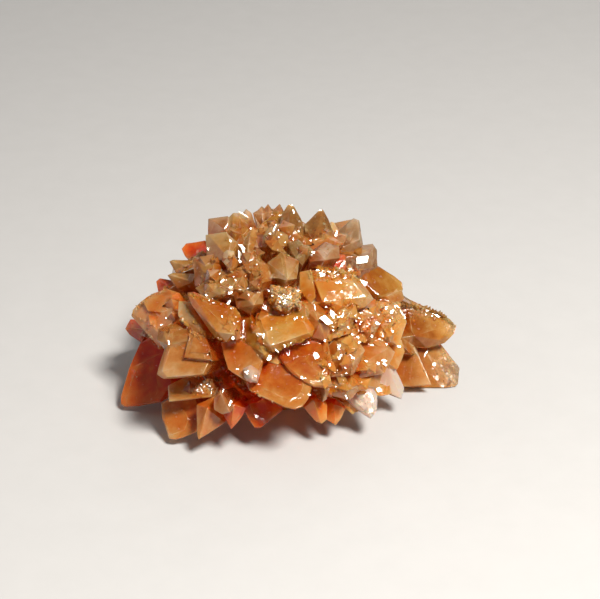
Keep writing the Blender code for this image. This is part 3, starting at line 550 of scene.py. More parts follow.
# Small mirror-bright faces that catch the key light: column, row, width and height on the grid, and turn in
# degrees.
GLINTS = [
    (169, 344, 2.4, 6, 10), (187, 344, 2, 6, -10), (162, 325, 4, 2, 15), (207, 295, 4, 4, 20),
    (214, 299, 3, 5, 40), (222, 317, 2.6, 3, 0), (232, 337, 5, 4, 10), (262, 337, 10, 3.6, 30),
    (269, 357, 5, 7, 15), (284, 346, 4, 5, 30), (276, 349, 7, 1.6, -50), (248, 373, 4, 5, 20),
    (255, 376, 4, 4, 45), (238, 370, 4, 4, 10), (222, 392, 1.8, 6, -20), (229, 404, 3, 8, -25),
    (182, 410, 3, 2, 20), (137, 377, 2.6, 2.6, 0), (131, 385, 2.2, 2.2, 0), (318, 271, 5, 3.4, 10),
    (323, 276, 8, 5, 15), (329, 272, 4, 3, -20), (338, 282, 7, 4.6, -10), (345, 279, 4, 3, 30),
    (349, 272, 3, 12, -48), (343, 264, 3, 9, -40), (363, 283, 11, 7.5, -8), (362, 262, 15, 9, 18),
    (324, 320, 14, 7.5, -35), (314, 308, 2, 8, 15), (315, 356, 9, 6, 35), (339, 348, 4, 8, -10),
    (342, 358, 6, 7, 20), (353, 358, 4, 4, 0), (366, 363, 4, 5, 20), (377, 364, 4, 5, 30),
    (384, 362, 5, 8, 25), (375, 323, 7, 5, -15), (343, 316, 3, 7, -30), (386, 309, 3, 4, 0),
    (391, 312, 6, 5, 20), (396, 307, 5, 4, -10), (401, 313, 4, 6, 0), (404, 318, 3, 4, 10),
    (391, 319, 4, 5, 15), (398, 347, 6, 3, -10), (371, 335, 3, 4, 0), (438, 317, 8, 4, -15),
    (432, 316, 3, 3, 0), (426, 353, 2.2, 12, -28), (347, 396, 4, 6, 10), (304, 377, 6, 4, 20),
    (310, 396, 5, 5, 30), (317, 390, 5, 3, 0), (229, 290, 9, 6, 35), (228, 300, 3, 8, -35),
    (243, 252, 6, 14, 5), (240, 262, 5, 6, 30), (276, 230, 1.8, 11, -28), (242, 217, 13, 1.6, -32),
    (226, 228, 2, 9, -35), (250, 229, 3, 3, 0), (293, 212, 3, 5, 10), (311, 254, 8, 4.6, 35),
    (336, 236, 3, 8, -20), (209, 249, 3, 4, 0), (248, 289, 3, 3, 0), (268, 290, 2.6, 3, 20),
    (283, 287, 3.4, 3, 0), (290, 296, 4, 4, 25), (297, 291, 3, 3, 50), (283, 316, 4, 4, 10),
    (296, 320, 4, 5, 30), (352, 335, 3, 3, 0), (359, 343, 4, 3, 30), (348, 327, 3, 4, 10),
    (380, 300, 3, 3, 0), (365, 308, 3, 4, 40), (333, 330, 3, 3, 20), (325, 340, 3, 4, 0),
    (392, 332, 3, 4, 15), (386, 345, 3, 3, 0), (330, 365, 3, 4, 30),
]
GLINT_GLARE = 1.1  # how much of that width and height is glare about the bright face
GLINT_LEAST = 0.8
GLINT_PAINTED_HIGHLIGHT = 0.55  # how far its colour is from the stone's to the milky one: a painted highlight
GLINT_OUTLINE = [(-0.5, -0.30), (0.26, -0.5), (0.5, 0.22), (-0.30, 0.5)]  # in widths and heights
GLINT_PROUD = 0.12 * MM  # how far its middle stands off the surface that it lies flat on
GLINT_TAPER = 0.35  # how much narrower it is below
GLINT_LIFT = 0.32  # of its size, how much further off it stands where it leans
GLINT_THICKNESS = 0.05  # mm
GLINT_ROOT = 0.5  # of its size, how deep it is rooted
BROKEN_SIZES = (3.5, 7.4)  # the lesser of width and height from and up to which a bright face is broken up
BROKEN_INTO = 3
BROKEN_ASIDE = 0.34  # how far its parts lie from its middle, in widths and heights
BROKEN_SHARE = (0.45, 0.8)  # of its width and height, what a part has
BROKEN_TURN = 50
SPARKLE_SHARE = 0.10  # of the finest crystals, how many more have such a face
SPARKLE_WIDE, SPARKLE_HIGH = (1.4, 4.0), (1.2, 2.0)

# The studio.
KEY_PLACE = Vector((0.20, -0.28, 0.52))
FILL_PLACE = Vector((-0.80, 0.10, 0.42))
BACK_PLACE = Vector((0.20, 0.60, 0.45))
BACK_SHARE = 0.8  # of the fill light's power
LIGHT_AIM = Vector((0, 0, 0.02))
SKY_STRENGTH = 0.30
SENSOR_WIDTH = 36.0  # mm


def display_axes():
    """The drawing's axes in the part's frame: to the right, up the page, and out of the page to the eye."""
    sine, cosine = math.sin(EYE_ELEVATION), math.cos(EYE_ELEVATION)
    return Vector((1, 0, 0)), Vector((0, sine, cosine)), Vector((0, -cosine, sine))


RIGHT, UP, OUT = display_axes()
AIM = RIGHT * ((AXIS_COLUMN - ORIGIN_COLUMN) * GRID) + UP * ((ORIGIN_ROW - AXIS_ROW) * GRID)
EYE = AIM + OUT * EYE_DISTANCE


def sight_line(column, row):
    """The line of sight through a place on the grid: its point on the grid's plane, and its run per metre."""
    across = (column - AXIS_COLUMN) * GRID
    above = (AXIS_ROW - row) * GRID
    start = AIM + RIGHT * across + UP * above
    run = OUT - RIGHT * (across / EYE_DISTANCE) - UP * (above / EYE_DISTANCE)
    return start, run


def in_dome_units(vector):
    """A direction measured along the dome's own axes, in half-axes."""
    turned = Matrix.Rotation(-CORE_TURN, 3, "Z") @ vector
    return Vector(a / half for a, half in zip(turned, CORE_HALF))


def dome_depth(start, run):
    """How far along a line of sight the dome is met, or passed most closely."""
    near = in_dome_units(start - CORE_CENTRE)
    step = in_dome_units(run)
    half_b = near.dot(step)
    a = step.length_squared
    reach = max(0.0, half_b**2 - a * (near.length_squared - 1))
    return (math.sqrt(reach) - half_b) / a


def face_direction(crystal):
    """The direction that the girdle's plane of a drawn crystal faces."""
    right, up = math.tan(math.radians(crystal.right)), math.tan(math.radians(crystal.up))
    return (OUT + RIGHT * right + UP * up).normalized()


def flat_table(girdle, normal):
    """The corners of a table facet over this girdle."""
    middle = sum(girdle, Vector()) / len(girdle)
    return [p.lerp(middle, TABLE_INSET) + normal * TABLE_HEIGHT for p in girdle]


def drawn_points(crystal):
    """A drawn crystal's corners in space, where the lines of sight meet its planes above the break."""
    columns = [c for c, _ in crystal.girdle]
    rows = [r for _, r in crystal.girdle]
    start, run = sight_line(sum(columns) / len(columns), sum(rows) / len(rows))
    centre = start + run * (dome_depth(start, run) + crystal.lift * MM)
    normal = face_direction(crystal)

    def on_plane(column, row, height=0.0):
        start, run = sight_line(column, row)
        depth = (centre + normal * height * MM - start).dot(normal) / run.dot(normal)
        lowest = (REST_CLEARANCE - start.z) / run.z
        return start + run * max(depth, lowest)

    girdle = [on_plane(*place) for place in crystal.girdle]
    crest = [on_plane(*place) for place in crystal.crest] or flat_table(girdle, normal)
    middle = sum(girdle, Vector()) / len(girdle)
    return girdle + crest + [middle.lerp(CORE_CENTRE, ROOT_SHARE)]


def grid_place(point):
    """The column and row where a point in space is seen on the drawing grid."""
    scale = EYE_DISTANCE / (EYE_DISTANCE - (point - AIM).dot(OUT))
    place = (point - AIM) * (scale / GRID)
    return AXIS_COLUMN + place.dot(RIGHT), AXIS_ROW - place.dot(UP)


def inside(place, corners):
    """Whether a place on the grid lies inside this outline."""
    x, y = place
    crossed = False
    for (x1, y1), (x2, y2) in zip(corners, corners[1:] + corners[:1]):
        if (y1 > y) != (y2 > y) and x < x1 + (y - y1) * (x2 - x1) / (y2 - y1):
            crossed = not crossed
    return crossed


def shows_past_display(points):
    """Whether a corner would be seen outside every drawn crystal."""
    places = [grid_place(p) for p in points]
    return any(not any(inside(place, c.girdle) for c in DRAWN) for place in places)


def dome_seat(direction):
    """The dome's point in this direction, given in half-axes, and the way that the dome faces there."""
    turn = Matrix.Rotation(CORE_TURN, 3, "Z")
    point = CORE_CENTRE + turn @ Vector([d * half for d, half in zip(direction, CORE_HALF)])
    facing = turn @ Vector([d / half for d, half in zip(direction, CORE_HALF)])
    return point, facing.normalized()


def spiral_way(step, height):
    """The direction, in half-axes, at this step of a spiral up the dome and at this height."""
    ring = math.sqrt(1 - height**2)
    return Vector((ring * math.cos(GOLDEN_ANGLE * step), ring * math.sin(GOLDEN_ANGLE * step), height))


def blade_points(foot, tip_way, face_way, long, wide, deep, chance):
    """The corners of a blade or a tooth that starts at its foot and points this way."""
    side_way = tip_way.cross(face_way)
    shoulder = chance.uniform(*BLADE_SHOULDER)
    slant = chance.uniform(-BLADE_SLANT, BLADE_SLANT)
    outline = [
        (1.0, slant, 0.0),
        (shoulder, 0.5, 0.0),
        (0.0, 0.3, 0.0),
        (0.0, -0.3, 0.0),
        (shoulder - slant, -0.5, 0.0),
        (shoulder * 0.9, slant * 0.5, deep),
    ]
    return [foot + tip_way * long * a + side_way * wide * b + face_way * c for a, b, c in outline]


def grown_points(direction, chance):
    """A blade on the dome, leaning away from the crown; shorter where it would show past the display side."""
    seat, facing = dome_seat(direction)
    away = Vector((direction.x, direction.y, GROWN_FALL))
    away = (away - facing * away.dot(facing)).normalized()
    swing = Quaternion(facing, chance.uniform(-GROWN_SWING, GROWN_SWING))
    tip_way = (facing * chance.uniform(*GROWN_LEAN) + (swing @ away)).normalized()
    face_way = (facing - tip_way * facing.dot(tip_way)).normalized()
    long = chance.uniform(*GROWN_LONG) * MM
    slender = chance.uniform(*GROWN_SLENDER)
    deep = chance.uniform(*GROWN_DEEP) * MM
    shape_seed = chance.random()
    for share in GROWN_SHARES:
        own = random.Random(shape_seed)
        size = long * share
        foot = seat - tip_way * size * 0.5
        points = blade_points(foot, tip_way, face_way, size, size * slender, deep, own)
        for p in points:
            p.z = max(p.z, REST_CLEARANCE)
        if not shows_past_display(points):
            return points + [seat.lerp(CORE_CENTRE, ROOT_SHARE)]
    return None


def oval_place(patch, step, chance):
    """The place of a patch's crystal on the drawing grid."""
    reach = math.sqrt((step + 0.5) / patch.count)
    angle = GOLDEN_ANGLE * step + chance.uniform(-OVAL_SWING, OVAL_SWING)
    column = patch.column + patch.half_columns * reach * math.cos(angle)
    row = patch.row + patch.half_rows * reach * math.sin(angle)
    return column, row


def seen_seat(column, row, surface):
    """The point and the way it faces where a line of sight meets this surface."""
    start, run = sight_line(column, row)
    seat, normal, _, _ = surface.ray_cast(start + run * EYE_DISTANCE * 0.5, -run)
    return seat, normal


def tooth_points(seat, normal, long, wide, deep, bearing, lean):
    """The corners of a small tooth seated on a surface."""
    away = Quaternion(normal, bearing) @ normal.orthogonal().normalized()
    tip_way = (normal * lean + away).normalized()
    face_way = (normal - tip_way * normal.dot(tip_way)).normalized()
    side_way = tip_way.cross(face_way)
    foot = seat - tip_way * long * 0.5
    return [
        foot + tip_way * long,
        foot + tip_way * long * 0.5 + side_way * wide * 0.5,
        foot + tip_way * long * 0.4 - side_way * wide * 0.5,
        foot + tip_way * long * 0.35 + face_way * deep,
        foot,
    ]


def outer_seat(direction, surface):
    """The outermost point this way and its facing, and the dome's point below it and that one's facing."""
    point, facing = dome_seat(direction)
    way = (CORE_CENTRE - point).normalized()
    seat, normal, _, _ = surface.ray_cast(point - way * WIDTH, way)
    return seat, normal, point, facing


def bare_seats(surface):
    """Where the core lies bare between the blades of the flanks and the back."""
    seats = []
    for step in range(BARE_TRIES):
        seat, normal, point, facing = outer_seat(spiral_way(step, (step + 0.5) / BARE_TRIES), surface)
        if seat and facing.dot(OUT) < BARE_LIMIT and (seat - point).length < BARE_DEPTH * MM:
            seats.append((seat, normal))
    return seats


def back_seats(surface, chance):
    """Where the finest crystals of the back and the flanks sit, or none where that is on the display side."""
    seats = []
    for step in range(BACK_CLUSTERS):
        middle = spiral_way(step, (step + 0.5) / BACK_CLUSTERS * BACK_TOP)
        for _ in range(BACK_GRAINS):
            spread = Vector(chance.gauss(0, BACK_SPREAD) for _ in range(3))
            seat, normal, _, facing = outer_seat((middle + spread).normalized(), surface)
            seats.append((seat if facing.dot(OUT) <= DISPLAY_LIMIT else None, normal))
    return seats


def druse_points(place, patch, surface, chance, ragged=False):
    """A small tooth rooted where its line of sight meets the display side, or none there."""
    return seated_tooth(*seen_seat(*place, surface), patch, chance, ragged)


def seated_tooth(seat, normal, patch, chance, ragged):
    """A small tooth on a surface. Only ragged ones may stand past the display side's outline."""
    long = chance.uniform(patch.short, patch.long) * MM
    wide = long * chance.uniform(*TOOTH_WIDE)
    deep = long * chance.uniform(*TOOTH_DEEP)
    bearing = chance.uniform(0, 2 * math.pi)
    lean = chance.uniform(*TOOTH_LEAN)
    if seat is None:
        return None
    points = tooth_points(seat, normal, long, wide, deep, bearing, lean)
    if min(p.z for p in points) < REST_CLEARANCE:
        return None
    if not ragged and shows_past_display(points):
        return None
    return points + [seat - normal * long * TOOTH_ROOT]


def glint_points(glint, surface):
    """The corners of a small crystal whose table turns the key light towards the eye."""
    column, row, wide, high, turn = glint
    wide, high = (max(GLINT_LEAST, size - GLINT_GLARE) for size in (wide, high))
    seat, normal = seen_seat(column, row, surface)
    if seat is None:
        return None
    to_eye = (EYE - seat).normalized()
    facing = ((KEY_PLACE - seat).normalized() + to_eye).normalized()
    across = facing.cross(UP).normalized() * -1
    upward = facing.cross(across).normalized()
    if upward.dot(UP) < 0:
        upward = -upward
    spin = Quaternion(facing, math.radians(turn))
    lean = math.sqrt(max(0.0, 1 - facing.dot(normal) ** 2))
    middle = seat + normal * (GLINT_PROUD + max(wide, high) * GRID * GLINT_LIFT * lean)
    table = []
    for a, b in GLINT_OUTLINE:
        offset = spin @ (across * a * wide * GRID + upward * b * high * GRID)
        table.append(middle + offset)
    foot = seat - normal * max(wide, high) * GRID * GLINT_ROOT
    return table + [p.lerp(foot, GLINT_TAPER) - facing * GLINT_THICKNESS * MM for p in table] + [foot]


class Crystal(NamedTuple):
    """One crystal of the cluster: its corners, its body colour, and how much frost lies on it."""

    points: list
    tint: tuple
    frost: float
    host: list  # the corners of the crystal that its growth is measured on
    rim: float  # how pale its rims are, from 0 to 1, partly as a painted highlight


def varied(tint, chance):
    """A tint a little deeper or paler, as from one crystal to the next."""
    return deepened(tint, chance.uniform(*VARIETY))


def drawn_crystals(shading):
    """The crystals of the display side. A step on a larger crystal has that one's colour and growth."""
    made = {}
    for drawn in DRAWN:
        points = drawn_points(drawn)
        host = made.get(STEP_OF.get(drawn.name))
        if host:
            made[drawn.name] = host._replace(points=points, rim=SMALL_RIM)
        else:
            made[drawn.name] = Crystal(points, varied(TINTS[drawn.tint], shading), 0.0, points, LARGE_RIM)
    return list(made.values())


def hull(points):
    """A bmesh of the convex solid through these corners."""
    shape = bmesh.new()
    for point in points:
        shape.verts.new(point)
    made = bmesh.ops.convex_hull(shape, input=shape.verts)
    spare = set(made["geom_interior"] + made["geom_unused"])
    bmesh.ops.delete(shape, geom=[v for v in shape.verts if v in spare], context="VERTS")
    bmesh.ops.recalc_face_normals(shape, faces=shape.faces)
    return shape


def rounded_crystal(points, radius, segments):
    """A bmesh of a crystal whose edges are slightly rounded, as on etched calcite."""
    shape = hull(points)
    bmesh.ops.dissolve_limit(shape, angle_limit=FLAT_WITHIN, verts=shape.verts, edges=shape.edges)
    shortest = min(e.calc_length() for e in shape.edges)
    bmesh.ops.bevel(shape, geom=shape.edges[:] + shape.verts[:], offset=min(radius, shortest * BEVEL_LIMIT),
                    offset_type="OFFSET", affect="EDGES", segments=segments, profile=0.5, material=-1,
                    clamp_overlap=True)
    bmesh.ops.triangulate(shape, faces=shape.faces)
    bmesh.ops.recalc_face_normals(shape, faces=shape.faces)
    return shape


def mesh_object(name, shape):
    """A linked object that takes over this bmesh."""
    mesh = bpy.data.meshes.new(name)
    shape.to_mesh(mesh)
    shape.free()
    obj = bpy.data.objects.new(name, mesh)
    bpy.context.scene.collection.objects.link(obj)
    return obj


def core_shape(subdivisions):
    """The rounded core that every crystal is rooted in."""
    shape = bmesh.new()
    bmesh.ops.create_icosphere(shape, subdivisions=subdivisions, radius=1.0)
    for vert in shape.verts:
        lowness = max(0.0, min(1.0, (UNDERCUT_FROM - vert.co.z) / UNDERCUT_OVER))
        waist = 1 - CORE_UNDERCUT * lowness
        place = Vector((vert.co.x * waist, vert.co.y * waist, vert.co.z))
        vert.co = dome_seat(place * CORE_SHARE)[0]
    return shape


def plain_surface(crystals):
    """A search tree over the core and these crystals, with sharp edges, and each of its faces' owner.

    The owner is a crystal's number, or -1 for the core."""
    verts = []
    polygons = []
    owners = []
    for number in range(-1, len(crystals)):
        shape = core_shape(SEAT_DETAIL) if number < 0 else hull(crystals[number].points)
        first = len(verts)
        shape.verts.index_update()
        verts += [v.co.copy() for v in shape.verts]
        polygons += [[first + v.index for v in f.verts] for f in shape.faces]
        owners += [number] * len(shape.faces)
        shape.free()
    return BVHTree.FromPolygons(verts, polygons), owners


def frost_at(point):
    """How much frost lies at a point of the display side, from 0 to 1."""
    column, row = grid_place(point)
    most = 0.0
    for middle_column, middle_row, half_columns, half_rows, frost in FROST:
        across = (column - middle_column) / half_columns
        down = (row - middle_row) / half_rows
        most = max(most, frost * max(0.0, 1 - (across**2 + down**2)))
    return min(1.0, most)


def all_crystals():
    """Every crystal of the solid: those of the display side, the back and the flanks, and the druse."""
    shading = random.Random(TERRACE_SEED + 1)
    crystals = drawn_crystals(shading)
    terraces = []
    grown = []
    chance = random.Random(GROWN_SEED)
    tinting = random.Random(GROWN_SEED + 1)
    for step in range(GROWN_COUNT):
        direction = spiral_way(step, LOWEST_SEAT + (1 - LOWEST_SEAT) * (step + 0.5) / GROWN_COUNT)
        if dome_seat(direction)[1].dot(OUT) < DISPLAY_LIMIT:
            points = grown_points(direction, chance)
            tint = TINTS[tinting.choice(GROWN_TINTS)]
            if points:
                grown.append(Crystal(points, varied(tint, shading), 0.0, points, LARGE_RIM))
    surface, _ = plain_surface(crystals)
    druse = []
    chance = random.Random(DRUSE_SEED)
    for patch in DRUSE:
        for step in range(patch.count):
            points = druse_points(oval_place(patch, step, chance), patch, surface, chance)
            if points:
                tint = varied(TINTS[patch.tint], shading)
                druse.append(Crystal(points, tint, DRUSE_FROST, points, SMALL_RIM))
    stepping = random.Random(TERRACE_SEED)
    for crystal in crystals + grown:
        for _ in range(stepping.choice(TERRACE_CHOICE)):
            terraces.append(terrace(crystal, stepping))
    return crystals + grown + druse + terraces


def terrace(crystal, chance):
    """A parallel growth: its crystal's form, smaller, drawn to one of its corners and a little proud."""
    outer = crystal.points[:-1]
    root = crystal.points[-1]
    middle = sum(outer, Vector()) / len(outer)
    corner = chance.choice(outer)
    anchor = middle.lerp(corner, chance.uniform(*TERRACE_ASIDE))
    share = chance.uniform(*TERRACE_SHARE)
    proud = (middle - root).normalized() * chance.uniform(*TERRACE_PROUD) * MM
    points = [anchor.lerp(p, share) + proud for p in outer]
    for p in points:
        p.z = max(p.z, REST_CLEARANCE)
    return crystal._replace(points=points + [anchor.lerp(root, 0.5)], rim=SMALL_RIM)


def union_all(body, crystals):
    """Join these crystal objects to the body and cut the break below it."""
    joined = bpy.data.collections.new("joined")
    bpy.context.scene.collection.children.link(joined)
    for obj in crystals:
        bpy.context.scene.collection.objects.unlink(obj)
        joined.objects.link(obj)
    combine(body, "UNION", operand_type="COLLECTION", collection=joined)
    for obj in crystals:
        bpy.data.objects.remove(obj)
    bpy.data.collections.remove(joined)
    shape = bmesh.new()
    bmesh.ops.create_cube(shape, size=1.0)
    bmesh.ops.scale(shape, vec=(BED_WIDTH, BED_WIDTH, BED_WIDTH / 2), verts=shape.verts)
    bmesh.ops.translate(shape, vec=(0, 0, -BED_WIDTH / 4), verts=shape.verts)
    bed = mesh_object("bed", shape)
    combine(body, "DIFFERENCE", object=bed)
    bpy.data.objects.remove(bed)


def combine(body, operation, **others):
    """Join others to the body or cut them from it."""
    modifier = body.modifiers.new("combine", "BOOLEAN")
    modifier.operation = operation
    modifier.solver = "MANIFOLD"
    for key, value in others.items():
        setattr(modifier, key, value)
    apply_modifiers(body)


def apply_modifiers(obj):
    """Replace the object's mesh by its evaluated one."""
    graph = bpy.context.evaluated_depsgraph_get()
    mesh = bpy.data.meshes.new_from_object(obj.evaluated_get(graph))
    obj.modifiers.clear()
    obj.data = mesh


def keep_outer_shell(shape):
    """Leave only the largest connected shell. The rest goes in the mesh's own order, the same each run."""
    left = set(shape.verts)
    outer = set()
    for start in shape.verts:
        if start not in left:
            continue
        left.remove(start)
        shell = {start}
        front = [start]
        while front:
            vert = front.pop()
            for edge in vert.link_edges:
                other = edge.other_vert(vert)
                if other in left:
                    left.remove(other)
                    shell.add(other)
                    front.append(other)
        outer = max(outer, shell, key=len)
    bmesh.ops.delete(shape, geom=[v for v in shape.verts if v not in outer], context="VERTS")


def mixed(a, b, share):
    """A colour this share of the way from a to b."""
    return [x + (y - x) * share for x, y in zip(a, b)]


def smooth_step(low, high, value):
    """0 below low, 1 above high, and smooth between."""
    t = max(0.0, min(1.0, (value - low) / (high - low)))
    return t * t * (3 - 2 * t)


def deepened(tint, depth):
    """The colour of a tint under this many times the usual depth of stone; red fades least."""
    red, green, blue = tint
    red_depth = 1 + RED_SHARE * (depth - 1) if depth > 1 else depth
    return (red**red_depth, green**depth, blue**depth)


def refine(shape, longest):
    """Split the edges of a mesh of triangles until none is longer than this."""
    for _ in range(REFINE_PASSES):
        long_edges = [e for e in shape.edges if e.calc_length() > longest]
        if not long_edges:
            return
        bmesh.ops.subdivide_edges(shape, edges=long_edges, cuts=1)
        cut = [f for f in shape.faces if len(f.verts) > 3]
        bmesh.ops.triangulate(shape, faces=cut, quad_method="SHORT_EDGE")


def roughen(shape):
    """Let each vertex lie a little in from its crystal's true faces, as etching leaves them, and none out."""
    shape.normal_update()
    inward = []
    for vert in shape.verts:
        hollow = 0.5 + 0.5 * noise.noise(vert.co / UNEVEN_OVER)
        grounded = smooth_step(0.0, EVEN_BELOW, vert.co.z)
        inward.append(vert.normal * (hollow * grounded * UNEVENNESS))
    for vert, step in zip(shape.verts, inward):
        vert.co -= step


def soften(obj):
    """Shade the object smooth, by normals that its large faces decide."""
    obj.data.shade_smooth()
    weighted = obj.modifiers.new("weighted", "WEIGHTED_NORMAL")
    weighted.weight = 100
    apply_modifiers(obj)


def sky_directions(count):
    """Directions spread over the hemisphere about +Z, closer together towards its pole."""
    directions = []
    for i in range(count):
        ring = math.sqrt((i + 0.5) / count)
        angle = GOLDEN_ANGLE * i
        directions.append(Vector((ring * math.cos(angle), ring * math.sin(angle), math.sqrt(1 - ring**2))))
    return directions


def openness(shape):
    """How much of the sky each vertex sees past its neighbours, from 0 to 1."""
    # where a vertex sees little sky, its colour is given painted shade
    surface = BVHTree.FromBMesh(shape)
    rays = sky_directions(SKY_RAYS)
    seen = []
    for vert in shape.verts:
        normal = vert.normal
        across = normal.orthogonal().normalized()
        along = normal.cross(across)
        start = vert.co + normal * SKY_START
        light = 0.0
        for ray in rays:
            way = across * ray.x + along * ray.y + normal * ray.z
            distance = surface.ray_cast(start, way, SKY_REACH)[3]
            light += 1.0 if distance is None else distance / SKY_REACH
        seen.append(light / len(rays))
    return seen


def corner_layers(shape):
    """The layers of face corners that the calcite's material reads, made where they are missing."""
    colours, maps = shape.loops.layers.float_color, shape.loops.layers.uv
    return (colours.get("tint") or colours.new("tint"), maps.get("growth") or maps.new("growth"),
            colours.get("frost") or colours.new("frost"))


def paint(loop, layers, tint, growth, frost):
    """Give a face corner its tint, its place along and across the growth in mm, and its frost."""
    tint_layer, growth_layer, frost_layer = layers
    loop[tint_layer] = (*tint, 1.0)
    loop[growth_layer].uv = growth
    loop[frost_layer] = (frost, frost, frost, 1.0)


def growth_frame(host):
    """Where a crystal's growth starts, its ways along and across, its least height and its reach."""
    *outer, root = host
    tip = max(outer, key=lambda p: (p - root).length)
    along = (tip - root).normalized()
    inner = min((p - root).dot(along) for p in outer)
    return root, along, along.orthogonal().normalized(), inner, (tip - root).length - inner


def face_owners(shape, crystals):
    """Each face's crystal, how pale each face is as part of a rim, and how pale its vertices are by that."""
    # the rims' paleness is partly a painted highlight
    surface, owners = plain_surface(crystals)
    numbers = []
    face_rims = []
    rims = [0.0] * len(shape.verts)
    for face in shape.faces:
        centre = face.calc_center_median()
        _, flat, index, _ = surface.find_nearest(centre)
        number = owners[index]
        rim = 0.0
        if number >= 0 and flat.dot(face.normal) < RIM_TURN:
            rim = crystals[number].rim * smooth_step(-RIM_SHARE, RIM_SHARE, noise.noise(centre / RIM_PATCH))
        numbers.append(number)
        face_rims.append(rim)
        for vert in face.verts:
            rims[vert.index] = max(rims[vert.index], rim * RIM_SPREAD)
    return numbers, face_rims, rims


def colour_crystals(shape, crystals):
    """Give each face corner its crystal's colour, frost and growth direction.

    The colour deepens to red at a crystal's root, where light has come through more of the stone, and in the
    gaps between crystals, where that deepening is painted shade from how little sky a vertex sees. It pales
    towards the tips, and along the rims, where the paleness is partly a painted highlight."""
    shape.normal_update()
    shape.verts.index_update()
    seen = openness(shape)
    layers = corner_layers(shape)
    frames = [growth_frame(crystal.host) for crystal in crystals]
    frosts = [frost_at(vert.co) for vert in shape.verts]
    numbers, face_rims, rims = face_owners(shape, crystals)
    for face, number, face_rim in zip(shape.faces, numbers, face_rims):
        if number < 0:
            # the bare core in the gaps: its red is partly a painted glow
            tint, frost = GAP_TINT, 0.0
            origin, along, across, inner, reach = CORE_CENTRE, RIGHT, UP, -1.0, 1.0
        else:
            tint, frost = crystals[number].tint, crystals[number].frost
            origin, along, across, inner, reach = frames[number]
        for loop in face.loops:
            vertex = loop.vert.index
            rim = max(face_rim, rims[vertex]) if number >= 0 else 0.0
            from_root = loop.vert.co - origin
            height = from_root.dot(along)
            share = max(0.0, min(1.0, (height - inner) / reach))
            # painted shade: the colour deepens where the vertex sees little sky, as in the gaps between
            # crystals
            painted_shade = smooth_step(*GAP_SHADE_RANGE, 1 - seen[vertex])
            depth = 1 + GAP_SHADE_DEPTH * painted_shade + ROOT_DEPTH * (1 - share) ** 1.5 + TIP_DEPTH * share**2
            # painted highlight: the rims pale the colour, partly for their thinner stone
            depth += (RIM_DEPTH - depth) * rim
            growth = (height / MM, from_root.dot(across) / MM)
            paint(loop, layers, deepened(tint, max(RIM_DEPTH, depth)), growth, max(frost, frosts[vertex]))


# Features a metre of the noises and patterns.
CLOUD_SCALE, VEIL_SCALE, GRAIN_SCALE = 160, 620, 3600
MOSAIC_SCALE, FLAKE_SCALE = 380, 1500
FIBRE_SCALE = 120
STEP_SCALE = 0.16  # growth steps, a millimetre
RELIEF = 0.25 * MM

# How much each of them does.
CLOUD_DEPTH, VEIL_DEPTH = 1.5, 0.7  # to the depth of the tint
FLECKS_FROM, FLECKS_OVER, FLECKS_SHARE = 0.62, 0.12, 0.35  # where a veil is milky, and how much
FROST_CLOUD, FROST_EDGE, FROST_MILK = 0.5, (0.25, 0.75), 0.10  # to where frost lies, and how milky it is
VEIL_ROUGHNESS, FROST_ROUGHNESS = 0.12, 0.22
STEP_RELIEF, VEIL_RELIEF, GRAIN_RELIEF, FROST_RELIEF = 0.30, 0.40, 0.05, 0.4
MOSAIC_TILT, FLAKE_TILT, FROST_TILT = 0.10, 0.03, 0.9

RED_SCATTERS_FURTHEST = (1.0, 0.5, 0.25)
PAPER_COLOURS = (0.44, 0.435, 0.43, 1.0), (0.47, 0.465, 0.46, 1.0)


class Socket:
    """A node's output in a shader. Python's operators on it add Math nodes."""

    def __init__(self, shader, output):
        self.shader = shader
        self.output = output

    def math(self, operation, other, clamp=False):
        settings = {"operation": operation, "use_clamp": clamp}
        return self.shader.add("ShaderNodeMath", settings, (self, other))

    def __add__(self, other):
        return self.math("ADD", other)

    def __sub__(self, other):
        return self.math("SUBTRACT", other)

    def __mul__(self, other):
        return self.math("MULTIPLY", other)

    def clamped(self):
        return self.math("ADD", 0.0, clamp=True)

    def step(self, low, high):
        """0 below low, 1 above high, and smooth between."""
        settings = {"interpolation_type": "SMOOTHSTEP"}
        values = {"Value": self, "From Min": low, "From Max": high}
        return self.shader.add("ShaderNodeMapRange", settings, values)


